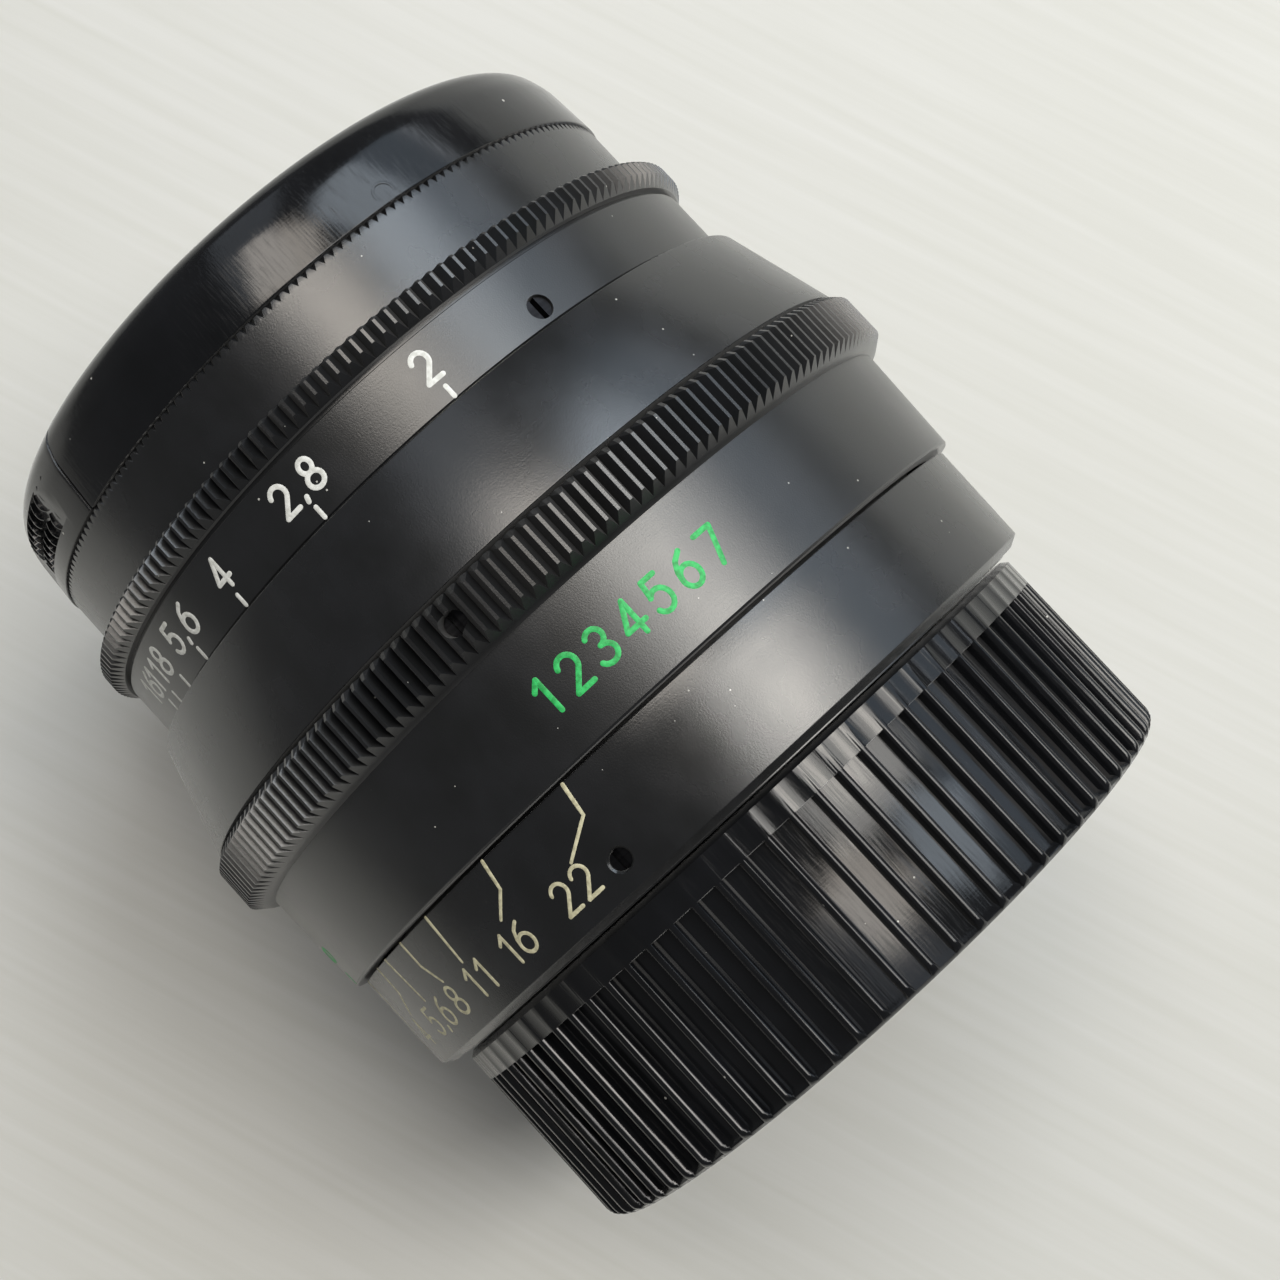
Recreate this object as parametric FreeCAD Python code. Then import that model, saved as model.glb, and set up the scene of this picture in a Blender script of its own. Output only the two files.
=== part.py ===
import FreeCAD, Part
import math
import os

# A prime lens lying on its side with both caps on. Everything is drawn about the optical
# axis (z below), from the mount flange at z = 0 towards the front at negative z. place()
# then lays the axis along X, front towards -X, with angle 0 of every ring facing up (+Z).

# ---- lengths along the axis, counted from the flange face towards the front
scale_ring_len = 8.35      # depth-of-field ring
skirt_len = 9.15           # smooth skirt of the focusing ring
knurl_len = 3.6            # knurled band of the focusing ring
cone_len = 8.3             # conical index sleeve
figure_len = 5.05          # plain band of the aperture ring that carries the figures
small_knurl_len = 2.15     # knurled band of the aperture ring
bezel_len = 5.2            # front bezel
cap_len = 7.0              # front cap
rear_cap_len = 15.4        # rear cap
focus_travel = 6.0         # how far the lens head moves forward at the close stop
focus_turn = 200.0         # degrees of the focusing ring for that travel
aperture_turn = 84.25      # degrees of the aperture ring, shut to fully open

# ---- radii, each worked outwards from the one inside it
barrel_r = 22.0            # sliding main barrel, outside
barrel_wall = 1.5
sleeve_wall = 1.94         # helicoid sleeve of the focusing ring
bearing_wall = 1.34        # fixed barrel where the sleeve turns in it
seat_wall = 2.34           # fixed barrel where the depth-of-field ring sits
scale_wall = 1.9           # depth-of-field ring
skirt_step = 0.85          # skirt radius above the depth-of-field ring
knurl_step = 1.75          # knurl crest above the skirt
cone_step = 1.0            # rear edge of the index sleeve above the skirt
cone_rise = 2.25           # front edge of the index sleeve below its rear edge
figure_step = 1.05         # figure band below the front edge of the index sleeve
small_knurl_step = 0.9     # aperture knurl crest above the figure band
bezel_step = 1.05          # front bezel below the figure band
filter_r = 24.5            # filter thread, major radius
mount_r = 21.0             # mount thread, major radius
mount_len = 4.5
tail_bore = 18.0
cap_r = 25.95              # front cap
rear_cap_r = 26.4          # rear cap over its ribs

# ---- clearances
seam_gap = 0.3             # between rings that turn past each other
running = 0.06             # radial clearance of the bearings and helicoids
side_gap = 0.3             # between other moving parts

# ---- counts and small features
knurl_teeth = 198
small_knurl_teeth = 184
serrations = 220
ribs = 81
knurl_depth = 0.85
small_knurl_depth = 0.7
rib_depth = 0.75
screw_count = 3
scale_screw_angle = 15.3
grip_screw_angle = 9.7
drive_screw_angle = -27.0
drive_screw_r = 0.85
button_angle = 65.0

# ---- iris
blade_count = 8
blade_t = 0.15
blade_pitch = 0.3
blade_in = 8.8             # inner edge of a blade, which is the fully open radius
blade_out = 13.2
blade_span = 125.0
pivot_r = 14.2
pin_offset = 20.0          # cam pin behind the pivot, degrees
blade_turn = 37.46         # degrees a blade swings for aperture_turn
pivot_pin = 0.5
cam_pin = 0.4
pin_play = 0.05

# ---- stations
z_scale = -scale_ring_len
z_skirt = z_scale - seam_gap
z_knurl = z_skirt - skirt_len
z_grip = z_knurl - knurl_len
z_cone = z_grip - seam_gap
z_cone_f = z_cone - cone_len
z_band = z_cone_f - seam_gap
z_apk = z_band - figure_len
z_apf = z_apk - small_knurl_len
z_bezel = z_apf - seam_gap
z_front = z_bezel - bezel_len
z_cap = z_front - 0.05
z_cap_f = z_cap - cap_len
flange_t = 1.6
z_bear_f = z_skirt - 3.45           # front end of the fixed barrel
z_web_r = z_bear_f - seam_gap
z_web_f = z_web_r - 2.0             # web that joins the grip to its helicoid sleeve
z_head = z_cone_f + 3.0             # rear face of the lens head's web
z_head_f = z_cone_f + 0.5
z_sleeve_f = z_head + 1.0
z_sleeve_r = -flange_t - 1.9
z_barrel_r = -flange_t - 0.6
z_drive = z_band - 1.3              # the aperture ring's drive screw
z_cam = z_bezel + 15.6              # front face of the iris cam disc
cam_t = 0.8
z_blade = z_cam + cam_t + 0.3       # first blade
z_plate = z_blade + blade_count * blade_pitch + 0.2
plate_t = 1.2

# ---- radii that follow
barrel_in = barrel_r - barrel_wall
sleeve_in = barrel_r + running
sleeve_r = sleeve_in + sleeve_wall
bearing_in = sleeve_r + running
bearing_r = bearing_in + bearing_wall
seat_r = bearing_in + seat_wall
scale_r = seat_r + scale_wall
skirt_in = bearing_r + 1.6
skirt_r = scale_r + skirt_step
knurl_r = skirt_r + knurl_step
cone_r = skirt_r + cone_step
cone_front_r = cone_r - cone_rise
figure_r = cone_front_r - figure_step
small_knurl_r = figure_r + small_knurl_step
bezel_r = figure_r - bezel_step
tube_r = skirt_in - seam_gap        # rear tube of the index sleeve
neck_r = barrel_r + 2.9             # front neck that carries the aperture ring
neck_in = neck_r - 1.5
cell_r = 18.5
cam_r = 18.14
cam_tube = 17.0
cam_bore = cam_r + running

V = FreeCAD.Vector
AXIS = V(0, 0, 1)
O = V(0, 0, 0)
LAY = FreeCAD.Placement(FreeCAD.Matrix(0, 0, 1, 0, 0, -1, 0, 0, 1, 0, 0, 0, 0, 0, 0, 1))
MADE = []


def save(name, shape):
    shape = shape.removeSplitter() if len(shape.Faces) < 400 else shape
    if len(shape.Solids) == 1:
        shape = shape.Solids[0]
    out = shape.copy()
    out.Placement = LAY.multiply(out.Placement)
    out.exportStep("parts/%s.step" % name)
    MADE.append(name)
    print("%-22s solids %d valid %s volume %.1f" % (name, len(out.Solids), out.isValid(), out.Volume))


def turned(points):
    """Ring or disc turned from (z, radius) points."""
    pts = [V(r, 0, z) for z, r in points]
    return Part.Face(Part.makePolygon(pts + [pts[0]])).revolve(O, AXIS, 360)


def tube(z0, z1, r0, r1):
    return turned([(z0, r0), (z0, r1), (z1, r1), (z1, r0)])


def spin(shape, angle, about=O):
    out = shape.copy()
    out.rotate(about, AXIS, angle)
    return out


def rod(r0, r1, z, angle, rad):
    """Round bar along a radius of the lens."""
    bar = Part.makeCylinder(rad, r1 - r0, V(r0, 0, z), V(1, 0, 0))
    return spin(bar, angle)


def bar(r0, r1, z0, z1, width, angle):
    """Square bar along a radius of the lens."""
    return spin(Part.makeBox(r1 - r0, width, z1 - z0, V(r0, -width / 2.0, z0)), angle)


def sector(r0, r1, z0, z1, a0, a1):
    """Piece of a ring between two angles."""
    ring = Part.makeCylinder(r1, z1 - z0, V(0, 0, z0), AXIS, a1 - a0)
    if r0 > 0:
        ring = ring.cut(Part.makeCylinder(r0, z1 - z0, V(0, 0, z0), AXIS))
    return spin(ring, a0)


def toothed(z0, z1, root, crest, count, crest_share, root_share=0.0):
    """Prism whose outline is a row of straight teeth round the axis."""
    tooth = [(-crest_share / 2, crest), (crest_share / 2, crest), (0.5 - root_share / 2, root)]
    if root_share:
        tooth.append((0.5 + root_share / 2, root))
    pts = [(2 * math.pi * (i + share) / count, r) for i in range(count) for share, r in tooth]
    wire = Part.makePolygon([V(r * math.cos(a), r * math.sin(a), z0) for a, r in pts + pts[:1]])
    return Part.Face(wire).extrude(V(0, 0, z1 - z0))


def grub(r_top, z, angle, rad, length, slot=0.5):
    """Slotted grub screw set in from a ring's surface."""
    body = rod(r_top - length, r_top, z, angle, rad)
    return body.cut(bar(r_top - slot, r_top + 1, z - rad, z + rad, 0.45, angle))


def sag(r, radius):
    return 0.0 if radius == 0 else math.copysign(abs(radius) - math.sqrt(radius ** 2 - r ** 2), radius)


def lens(z0, z1, edge, rad0, rad1, clear1=0.0, clear0=0.0):
    """Glass element; a concave face may stop at a clear radius and go on flat."""
    def face(z, radius, clear):
        c = clear or edge
        mid, end = V(c / 2.0, 0, z + sag(c / 2.0, radius)), V(c, 0, z + sag(c, radius))
        edges = [Part.Arc(V(0, 0, z), mid, end).toShape()]
        rim = V(edge, 0, end.z)
        if clear:
            edges.append(Part.makeLine(end, rim))
        return edges, rim
    front, rim0 = face(z0, rad0, clear0)
    back, rim1 = face(z1, rad1, clear1)
    edges = front + [Part.makeLine(rim0, rim1)] + back + [Part.makeLine(V(0, 0, z1), V(0, 0, z0))]
    wire = Part.Wire(Part.__sortEdges__(edges))
    return Part.Face(wire).revolve(O, AXIS, 360)


# ------------------------------------------------------------------ fixed rear part
KEY_ANGLES = (90.0, 270.0)
key_w = 4.0


def mount_tail():
    body = turned([(-flange_t, tail_bore), (-flange_t, seat_r), (0, seat_r), (0, mount_r),
                   (mount_len - 0.4, mount_r),
                   (mount_len, mount_r - 0.4), (mount_len, tail_bore)])
    for a in KEY_ANGLES:
        body = body.cut(key_screw(a))
    save("mount_tail", body)


def key_screw(a):
    r = sleeve_r - 1.4
    shank = Part.makeCylinder(0.8, 2.8, V(r, 0, -2.8), AXIS)
    head = Part.makeCylinder(1.35, 0.8, V(r, 0, -0.8), AXIS)
    return spin(shank.fuse(head), a)


def guide_keys():
    for i, a in enumerate(KEY_ANGLES):
        key = bar(barrel_in + 0.2, barrel_r - 0.1, z_barrel_r - 11.0, -flange_t, key_w, a)
        foot = bar(barrel_in + 0.2, sleeve_r, z_sleeve_r + 0.3, -flange_t, key_w, a)
        save("guide_key_%d" % (i + 1), key.fuse(foot).cut(key_screw(a)))
        slot = bar(sleeve_r - 3, sleeve_r, -0.35, 0.1, 0.5, a)
        save("key_screw_%d" % (i + 1), key_screw(a).cut(slot))


def fixed_barrel():
    z_seat = z_scale - 0.1
    body = turned([(z_bear_f, bearing_in), (z_bear_f, bearing_r), (z_seat, bearing_r), (z_seat, seat_r),
                   (-flange_t, seat_r), (-flange_t, seat_r - 1.1), (-6.0, seat_r - 1.1), (-6.0, bearing_in)])
    for i in range(screw_count):
        body = body.cut(rod(seat_r - 0.6, seat_r + 1, -2.55, scale_screw_angle + 120 * i, 0.7))
    save("fixed_barrel", body.cut(stop_pin()))


def depth_scale_ring():
    body = turned([(z_scale, seat_r), (z_scale, scale_r), (-1.03, scale_r - 0.15),
                   (-0.12, scale_r - 1.0), (-0.12, seat_r)])
    for i in range(screw_count):
        body = body.cut(rod(seat_r - 1, scale_r + 1, -2.55, scale_screw_angle + 120 * i, 0.7))
    save("depth_scale_ring", body)
    for i in range(screw_count):
        screw = grub(scale_r - 0.35, -2.55, scale_screw_angle + 120 * i, 0.7, scale_r - 0.35 - seat_r + 0.6)
        save("scale_screw_%d" % (i + 1), screw)


stop_r0, stop_r1 = bearing_in + 0.3, skirt_in - 0.3
stop_angle = 200.0
lug_gap = 1.2
lug_span = 360.0 - focus_turn - 2 * math.degrees(math.asin(1.0 / stop_r1)) - 2 * lug_gap


def stop_pin():
    return rod(stop_r0, stop_r1, z_bear_f + 1.7, stop_angle, 1.0)


# ------------------------------------------------------------------ focusing ring
def focus_grip():
    z_k1 = z_knurl + 0.55
    prism = toothed(z_grip, z_k1 + 0.3, knurl_r - knurl_depth, knurl_r, knurl_teeth, 0.3)
    band = turned([(z_grip, skirt_in), (z_grip, knurl_r - 0.45), (z_grip + 0.45, knurl_r),
                   (z_knurl - 0.1, knurl_r), (z_k1 + 0.15, knurl_r - knurl_depth - 0.2),
                   (z_k1 + 0.15, skirt_in)])
    skirt = turned([(z_knurl, skirt_in), (z_knurl, skirt_r + 0.9), (z_k1, skirt_r + 0.15),
                    (z_skirt, skirt_r - 0.15), (z_skirt, skirt_in)])
    web = tube(z_web_f, z_web_r, sleeve_r, skirt_in + 0.5)
    a1 = stop_angle - math.degrees(math.asin(1.0 / stop_r1)) - lug_gap
    lug = sector(bearing_r + 0.3, skirt_in + 0.5, z_web_r - 0.5, z_skirt - 0.6, a1 - lug_span, a1)
    body = band.common(prism).fuse([skirt, web, lug])
    for i in range(screw_count):
        a = grip_screw_angle + 120 * i
        body = body.cut(rod(skirt_in - 1, knurl_r + 1, (z_grip + z_knurl) / 2, a, 0.8))
    save("focus_grip", body)


def helicoid_sleeve():
    save("helicoid_sleeve", tube(z_sleeve_f, z_sleeve_r, sleeve_in, sleeve_r))
    save("thrust_ring", tube(-5.7, -4.5, sleeve_r, sleeve_r + 0.9))


def grip_screws():
    z = (z_grip + z_knurl) / 2
    for i in range(screw_count):
        top = knurl_r - knurl_depth - 0.5
        save("grip_screw_%d" % (i + 1), grub(top, z, grip_screw_angle + 120 * i, 0.8, top - skirt_in - 0.1))


# ------------------------------------------------------------------ lens head
def drive_slot():
    a0 = drive_screw_angle - 4.5
    z0, z1 = z_drive - 1.3, z_drive + 1.3
    return sector(neck_in - 1, neck_r + 1, z0, z1, a0, drive_screw_angle + aperture_turn + 4.5)


def main_barrel():
    body = turned([(z_bezel, neck_in), (z_bezel, neck_r), (z_head, neck_r), (z_head, barrel_r),
                   (z_barrel_r, barrel_r), (z_barrel_r, barrel_in), (z_head_f, barrel_in),
                   (z_head_f, neck_in)])
    body = body.cut(drive_slot())
    for a in KEY_ANGLES:
        body = body.cut(bar(barrel_in - 1, barrel_r + 1, z_barrel_r - 11.4, z_barrel_r + 1, key_w + 0.2, a))
    save("main_barrel", body.cut(rod(neck_r - 1.2, neck_r + 1, z_apk - 1.0, 120, 0.65)))


def detent():
    z = z_apk - 1.0
    ball = Part.makeSphere(0.6, spin_point(neck_r - 0.55, 120, z))
    save("detent_ball", ball)


def spin_point(r, angle, z):
    a = math.radians(angle)
    return V(r * math.cos(a), r * math.sin(a), z)


def index_sleeve():
    body = turned([(z_cone_f, neck_r), (z_cone_f, cone_front_r - 0.15), (z_cone_f + 0.15, cone_front_r),
                   (z_cone - 0.15, cone_r), (z_cone, cone_r - 0.15), (z_cone, tube_r),
                   (z_web_f - 0.4, tube_r), (z_web_f - 0.4, tube_r - 0.8), (z_head, tube_r - 0.8),
                   (z_head, neck_r)])
    save("index_sleeve", body)


def front_bezel():
    z_in = z_bezel - 1.5
    body = turned([(z_front, filter_r), (z_in - 0.7, filter_r), (z_in - 0.7, filter_r - 0.45),
                   (z_in, filter_r - 0.45), (z_in, cell_r), (z_bezel + 1.5, cell_r),
                   (z_bezel + 1.5, neck_in), (z_bezel, neck_in), (z_bezel, bezel_r - 0.1),
                   (z_bezel - 0.1, bezel_r), (z_front + 0.45, bezel_r), (z_front + 0.45, bezel_r - 0.25),
                   (z_front, bezel_r - 0.25)])
    ring = toothed(z_front, z_front + 0.45, bezel_r - 0.3, bezel_r + 0.1, serrations, 0.2)
    ring = ring.cut(Part.makeCylinder(filter_r + 0.4, 3, V(0, 0, z_front - 1), AXIS))
    save("front_bezel", body.fuse(ring))


z_e1 = z_bezel - 1.5
z_e2 = z_e1 + 4.1
z_c2 = z_e2 + 5.3
z_e3 = z_c2 + 1.5


def front_optics():
    z_in = z_bezel - 1.5
    save("front_element", lens(z_e1, z_e1 + 3.7, 16.0, 38.0, 140.0))
    save("second_element", lens(z_e2, z_c2, 13.5, 21.0, 100.0))
    save("third_element", lens(z_c2 + 0.02, z_e3, 13.5, 100.0, 14.2, clear1=11.0))
    z_shelf, z_edge2, z_end = z_e1 + 5.0, z_e2 + 5.3, z_e3 + 5.3
    save("front_cell", turned([(z_in, 16.0), (z_in, cell_r), (z_drive - 3.3, cell_r), (z_drive - 3.3, 16.7),
                               (z_end, 16.7), (z_end, 13.5), (z_edge2 - 0.5, 13.5), (z_edge2 - 0.5, 14.3),
                               (z_shelf, 15.2), (z_shelf, 16.0)]))
    save("front_retainer", tube(z_in - 0.7, z_in, 15.3, filter_r - 0.45))
    save("inner_retainer", tube(z_end, z_end + 0.6, 11.2, 16.0))


def iris_plate():
    body = turned([(z_cam - 0.4, cam_bore), (z_cam - 0.4, barrel_in), (z_plate + plate_t, barrel_in),
                   (z_plate + plate_t, blade_in + 0.2), (z_plate, blade_in + 0.2), (z_plate, cam_bore)])
    for i in range(blade_count):
        p = spin_point(pivot_r, 360.0 * i / blade_count, z_plate - 1)
        body = body.cut(Part.makeCylinder(pivot_pin + pin_play, plate_t + 2, p, AXIS))
    save("iris_plate", body)


z_r0 = z_plate + plate_t


def rear_optics():
    z4 = z_r0 + 4.6
    save("fourth_element", lens(z4, z4 + 1.4, 12.0, -14.5, 60.0, clear0=10.0))
    save("fifth_element", lens(z4 + 1.42, z4 + 7.4, 12.0, 60.0, -22.0))
    save("rear_element", lens(z4 + 7.7, z4 + 11.6, 12.5, 90.0, -45.0))
    z_end = z4 + 10.6
    z_step = z4 + 4.0
    save("rear_cell", turned([(z_r0, 9.6), (z_r0, barrel_in), (z_r0 + 3.0, barrel_in), (z_r0 + 3.0, 15.4),
                              (z_end, 15.4), (z_end, 12.5), (z_step + 4.0, 12.5), (z_step + 4.0, 12.0),
                              (z_r0 + 0.5, 12.0), (z_r0 + 0.5, 9.6)]))
    save("rear_retainer", tube(z_end, z_end + 0.7, 11.6, 14.6))


# ------------------------------------------------------------------ aperture ring and iris
def aperture_ring():
    bore = neck_r + running
    prism = toothed(z_apf, z_apk, small_knurl_r - small_knurl_depth, small_knurl_r, small_knurl_teeth, 0.25)
    band = turned([(z_apf, bore), (z_apf, small_knurl_r - 0.25), (z_apf + 0.25, small_knurl_r),
                   (z_apk - 0.8, small_knurl_r), (z_apk, figure_r + 0.1), (z_apk, bore)])
    core = turned([(z_apf + 0.05, bore), (z_apf + 0.05, figure_r - 0.4), (z_apk - 0.35, figure_r + 0.1),
                   (z_apk - 0.1, figure_r - 0.35), (z_apk + 0.25, figure_r - 0.35), (z_apk + 0.25, figure_r),
                   (z_band, figure_r), (z_band, bore)])
    hole = rod(neck_r - 1, figure_r + 1, z_drive, drive_screw_angle, drive_screw_r)
    dents = [rod(neck_r - 1, neck_r + 0.35, z_apk - 1.0, 120 - d, 0.75) for d in (0, 13.5, 84.25)]
    save("aperture_ring", band.common(prism).fuse(core).cut(hole).cut(dents[0].fuse(dents[1:])))
    screw = rod(cam_r + 0.6, figure_r - 0.25, z_drive, drive_screw_angle, drive_screw_r)
    slot = bar(figure_r - 0.9, figure_r + 1, z_drive - 1.0, z_drive + 1.0, 0.4, drive_screw_angle)
    save("drive_screw", screw.cut(slot))


def blade_pin_path(alpha):
    """Where a blade's cam pin is, for a blade swung in by alpha from fully open."""
    reach = 2 * pivot_r * math.sin(math.radians(pin_offset / 2.0))
    a = math.radians(alpha - 90.0 - pin_offset / 2.0)
    x, y = pivot_r + reach * math.cos(a), reach * math.sin(a)
    return math.hypot(x, y), math.degrees(math.atan2(y, x))


def iris_cam_ring():
    z1 = z_cam + cam_t
    body = turned([(z_drive - 1.6, cam_tube), (z_drive - 1.6, cam_r + 1.6), (z_drive + 1.6, cam_r + 1.6),
                   (z_drive + 1.6, cam_r - 0.2), (z_cam, cam_r - 0.2), (z_cam, cam_r), (z1, cam_r),
                   (z1, blade_in + 0.6), (z_cam, blade_in + 0.6), (z_cam, cam_tube)])
    steps = 14
    path = []
    for i in range(steps + 1):
        share = i / float(steps)
        r, a = blade_pin_path(blade_turn * (1 - share))
        path.append((r, a - aperture_turn * share))
    half = cam_pin + pin_play
    left, right = [], []
    for i, (r, a) in enumerate(path):
        p, q = path[max(i - 1, 0)], path[min(i + 1, steps)]
        tx = q[0] * math.cos(math.radians(q[1])) - p[0] * math.cos(math.radians(p[1]))
        ty = q[0] * math.sin(math.radians(q[1])) - p[0] * math.sin(math.radians(p[1]))
        n = math.hypot(tx, ty)
        c = spin_point(r, a, z_cam - 0.5)
        left.append(V(c.x - ty / n * half, c.y + tx / n * half, c.z))
        right.append(V(c.x + ty / n * half, c.y - tx / n * half, c.z))
    outline = Part.Face(Part.makePolygon(left + right[::-1] + [left[0]]))
    slot = outline.extrude(V(0, 0, cam_t + 1))
    for r, a in (path[0], path[-1]):
        slot = slot.fuse(Part.makeCylinder(half, cam_t + 1, spin_point(r, a, z_cam - 0.5), AXIS))
    for i in range(blade_count):
        body = body.cut(spin(slot, 360.0 * i / blade_count))
    save("iris_cam_ring", body.cut(rod(cam_r + 0.6, cam_r + 3, z_drive, drive_screw_angle, drive_screw_r)))


def blade(i):
    z = z_blade + i * blade_pitch
    leaf = sector(blade_in, blade_out, z, z + blade_t, 0, blade_span)
    ear = sector(blade_out - 1.5, pivot_r + 0.7, z, z + blade_t, -3, 3)
    pin = spin_point(pivot_r, -pin_offset, z)
    pad = Part.makeCylinder(0.75, blade_t, V(pivot_r, 0, z), AXIS)
    tail = Part.makeCylinder(0.75, blade_t, pin, AXIS)
    arm = Part.makeBox(1.1, (pin - V(pivot_r, 0, z)).Length, blade_t, V(-0.55, 0, 0))
    arm.rotate(O, AXIS, 180 - pin_offset / 2.0)
    arm.translate(V(pivot_r, 0, z))
    pivot = Part.makeCylinder(pivot_pin, z_plate + plate_t - 0.1 - z, V(pivot_r, 0, z), AXIS)
    cam = Part.makeCylinder(cam_pin, z + blade_t - z_cam - 0.1, V(pin.x, pin.y, z_cam + 0.1), AXIS)
    body = leaf.fuse([ear, pad, tail, arm, pivot, cam])
    body = spin(body, blade_turn, V(pivot_r, 0, 0))
    save("blade_%d" % (i + 1), spin(body, 360.0 * i / blade_count))


# ------------------------------------------------------------------ front cap
button_w, block_w, button_stroke = 18.4, 12.0, 1.8
button_wall = 2.2
button_play = 0.2
spring_r = 1.25             # coil of the button springs, to the wire's middle
z_b0, z_b1 = z_cap_f + 1.75, z_cap - 1.6


def cap_shell():
    body = turned([(z_cap_f, 0), (z_cap_f, cap_r - 2.4), (z_cap_f + 0.35, cap_r - 1.2),
                   (z_cap_f + 1.1, cap_r - 0.55), (z_cap_f + 2.6, cap_r - 0.2), (z_cap, cap_r),
                   (z_cap, cap_r - 1.5), (z_cap - 1.3, cap_r - 1.5), (z_cap - 1.3, cap_r - 1.7),
                   (z_cap_f + 1.6, cap_r - 2.0), (z_cap_f + 1.6, 0)])
    for a in (button_angle, button_angle + 180):
        body = body.cut(bar(cap_r - 7, cap_r + 2, z_b0 - 0.15, z_cap + 1, button_w + 2 * button_play, a))
    save("cap_shell", body)


def cap_back():
    z0 = z_cap - 1.3
    body = turned([(z0, 0), (z0, cap_r - 1.5), (z_cap, cap_r - 1.5), (z_cap, filter_r - 0.9),
                   (z_cap + 1.6, filter_r - 0.9), (z_cap + 1.6, filter_r - 2.1), (z_cap, filter_r - 2.1),
                   (z_cap, 0)])
    post = Part.makeBox(5.0, 24.0, z0 - z_cap_f - 1.6, V(-2.5, -12.0, z_cap_f + 1.6))
    body = body.fuse(spin(post, button_angle))
    for a in (button_angle, button_angle + 180):
        outer = math.sqrt((cap_r - button_wall) ** 2 - (button_w / 2) ** 2) - button_stroke - button_play
        body = body.cut(bar(outer, cap_r, z0 - 1, z_cap + 3, button_w + 2 * button_play, a))
        body = body.cut(bar(filter_r - 6.1, cap_r, z0 - 1, z_cap + 3, block_w + 2 * button_play, a))
    save("cap_back", body)


def cap_buttons():
    skin = turned([(z_b0, cap_r - button_wall), (z_b0, cap_r - 0.5), (z_cap_f + 2.6, cap_r - 0.3),
                   (z_cap - 0.05, cap_r - 0.1), (z_cap - 0.05, cap_r - button_wall)])
    for i, a in enumerate((button_angle, button_angle + 180)):
        r_in = filter_r - 9.0
        frame = skin.common(bar(10, cap_r + 2, z_b0, z_cap, button_w, a))
        z0, z1 = z_b0 + 1.1, z_cap - 1.3
        window = tube(z0, z1, cap_r - 1.0, cap_r + 1).common(bar(10, cap_r + 2, z0, z1, button_w - 2.0, a))
        block = bar(r_in, cap_r - button_wall + 0.3, z_b0, z_b1, block_w, a)
        body = frame.cut(window).fuse(block)
        step = math.degrees(1.75 / cap_r)
        for k in range(-4, 5):
            ridge = bar(cap_r - 1.2, cap_r - 0.55, z0 - 0.1, z1 + 0.1, 0.5, a + k * step)
            body = body.fuse(ridge)
        tongue = bar(filter_r - 3.4, filter_r - 1.9, z_b1 - 0.5, z_cap + 2.4, block_w - 2, a)
        hook = bar(filter_r - 2.2, filter_r - 0.9, z_cap + 1.2, z_cap + 2.2, block_w - 4, a)
        pocket = rod(r_in - 1, filter_r - 3.0, (z_b0 + z_b1) / 2, a, spring_r + 0.35)
        save("cap_button_%d" % (i + 1), body.fuse([tongue, hook]).cut(pocket))
        save("cap_spring_%d" % (i + 1), spring(2.4, filter_r - 3.0 - button_stroke - 0.2, a))


def spring(r0, r1, angle):
    """Small coil spring along a radius, drawn at its squeezed length."""
    turns = 7
    coil = Part.makeHelix((r1 - r0 - 0.4) / turns, r1 - r0 - 0.4, spring_r)
    section = Part.Wire([Part.Edge(Part.Circle(V(spring_r, 0, 0), V(0, 1, 0), 0.2))])
    wire = Part.Wire(coil).makePipeShell([section], True, True)
    wire.rotate(O, V(0, 1, 0), 90)
    wire.translate(V(r0 + 0.2, 0, (z_b0 + z_b1) / 2))
    return spin(wire, angle)


# ------------------------------------------------------------------ rear cap
def rear_cap():
    z0, z1 = 0.2, rear_cap_len + 0.2
    collar = 2.3
    skin = [(z1 - 0.8, rear_cap_r), (z1 - 0.3, rear_cap_r - 0.15), (z1 - 0.08, rear_cap_r - 0.45),
            (z1, rear_cap_r - 0.9)]
    core = turned([(z0, 0), (z0, rear_cap_r - 0.4), (z0 + 0.4, rear_cap_r), (z0 + collar, rear_cap_r),
                   (z0 + collar, rear_cap_r - rib_depth), (z1 - 0.6, rear_cap_r - rib_depth),
                   (z1, rear_cap_r - rib_depth - 0.4), (z1, 0)])
    prism = toothed(z0 + collar - 0.1, z1, rear_cap_r - rib_depth - 0.05, rear_cap_r + 0.02, ribs, 0.26, 0.58)
    hull = turned([(z0, 0), (z0, rear_cap_r)] + skin + [(z1, 0)])
    body = core.fuse(prism.common(hull))
    bore = Part.makeCylinder(mount_r + running, 6.5, V(0, 0, z0 - 1), AXIS)
    well = Part.makeCylinder(mount_r - 1.6, z1 - 1.8 - z0, V(0, 0, z0), AXIS)
    save("rear_cap", body.cut(bore.fuse(well)))


os.makedirs("parts", exist_ok=True)
mount_tail()
guide_keys()
fixed_barrel()
depth_scale_ring()
save("stop_pin", stop_pin())
focus_grip()
helicoid_sleeve()
grip_screws()
main_barrel()
detent()
index_sleeve()
front_bezel()
front_optics()
iris_plate()
rear_optics()
aperture_ring()
iris_cam_ring()
for number in range(blade_count):
    blade(number)
cap_shell()
cap_back()
cap_buttons()
rear_cap()
print(len(MADE), "pieces")
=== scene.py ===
# %% [markdown]
# # A prime camera lens with both caps on
#
# The lens lies on its side on a pale table. Its optical axis is the X axis, the front looks
# along -X, and the mount flange is at X = 0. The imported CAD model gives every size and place.
# This lesson builds the visible rings, knurls, ribs and figures round that frame.

# %% Load the frame
import bpy
import bmesh
import math
from mathutils import Vector, Matrix


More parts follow.
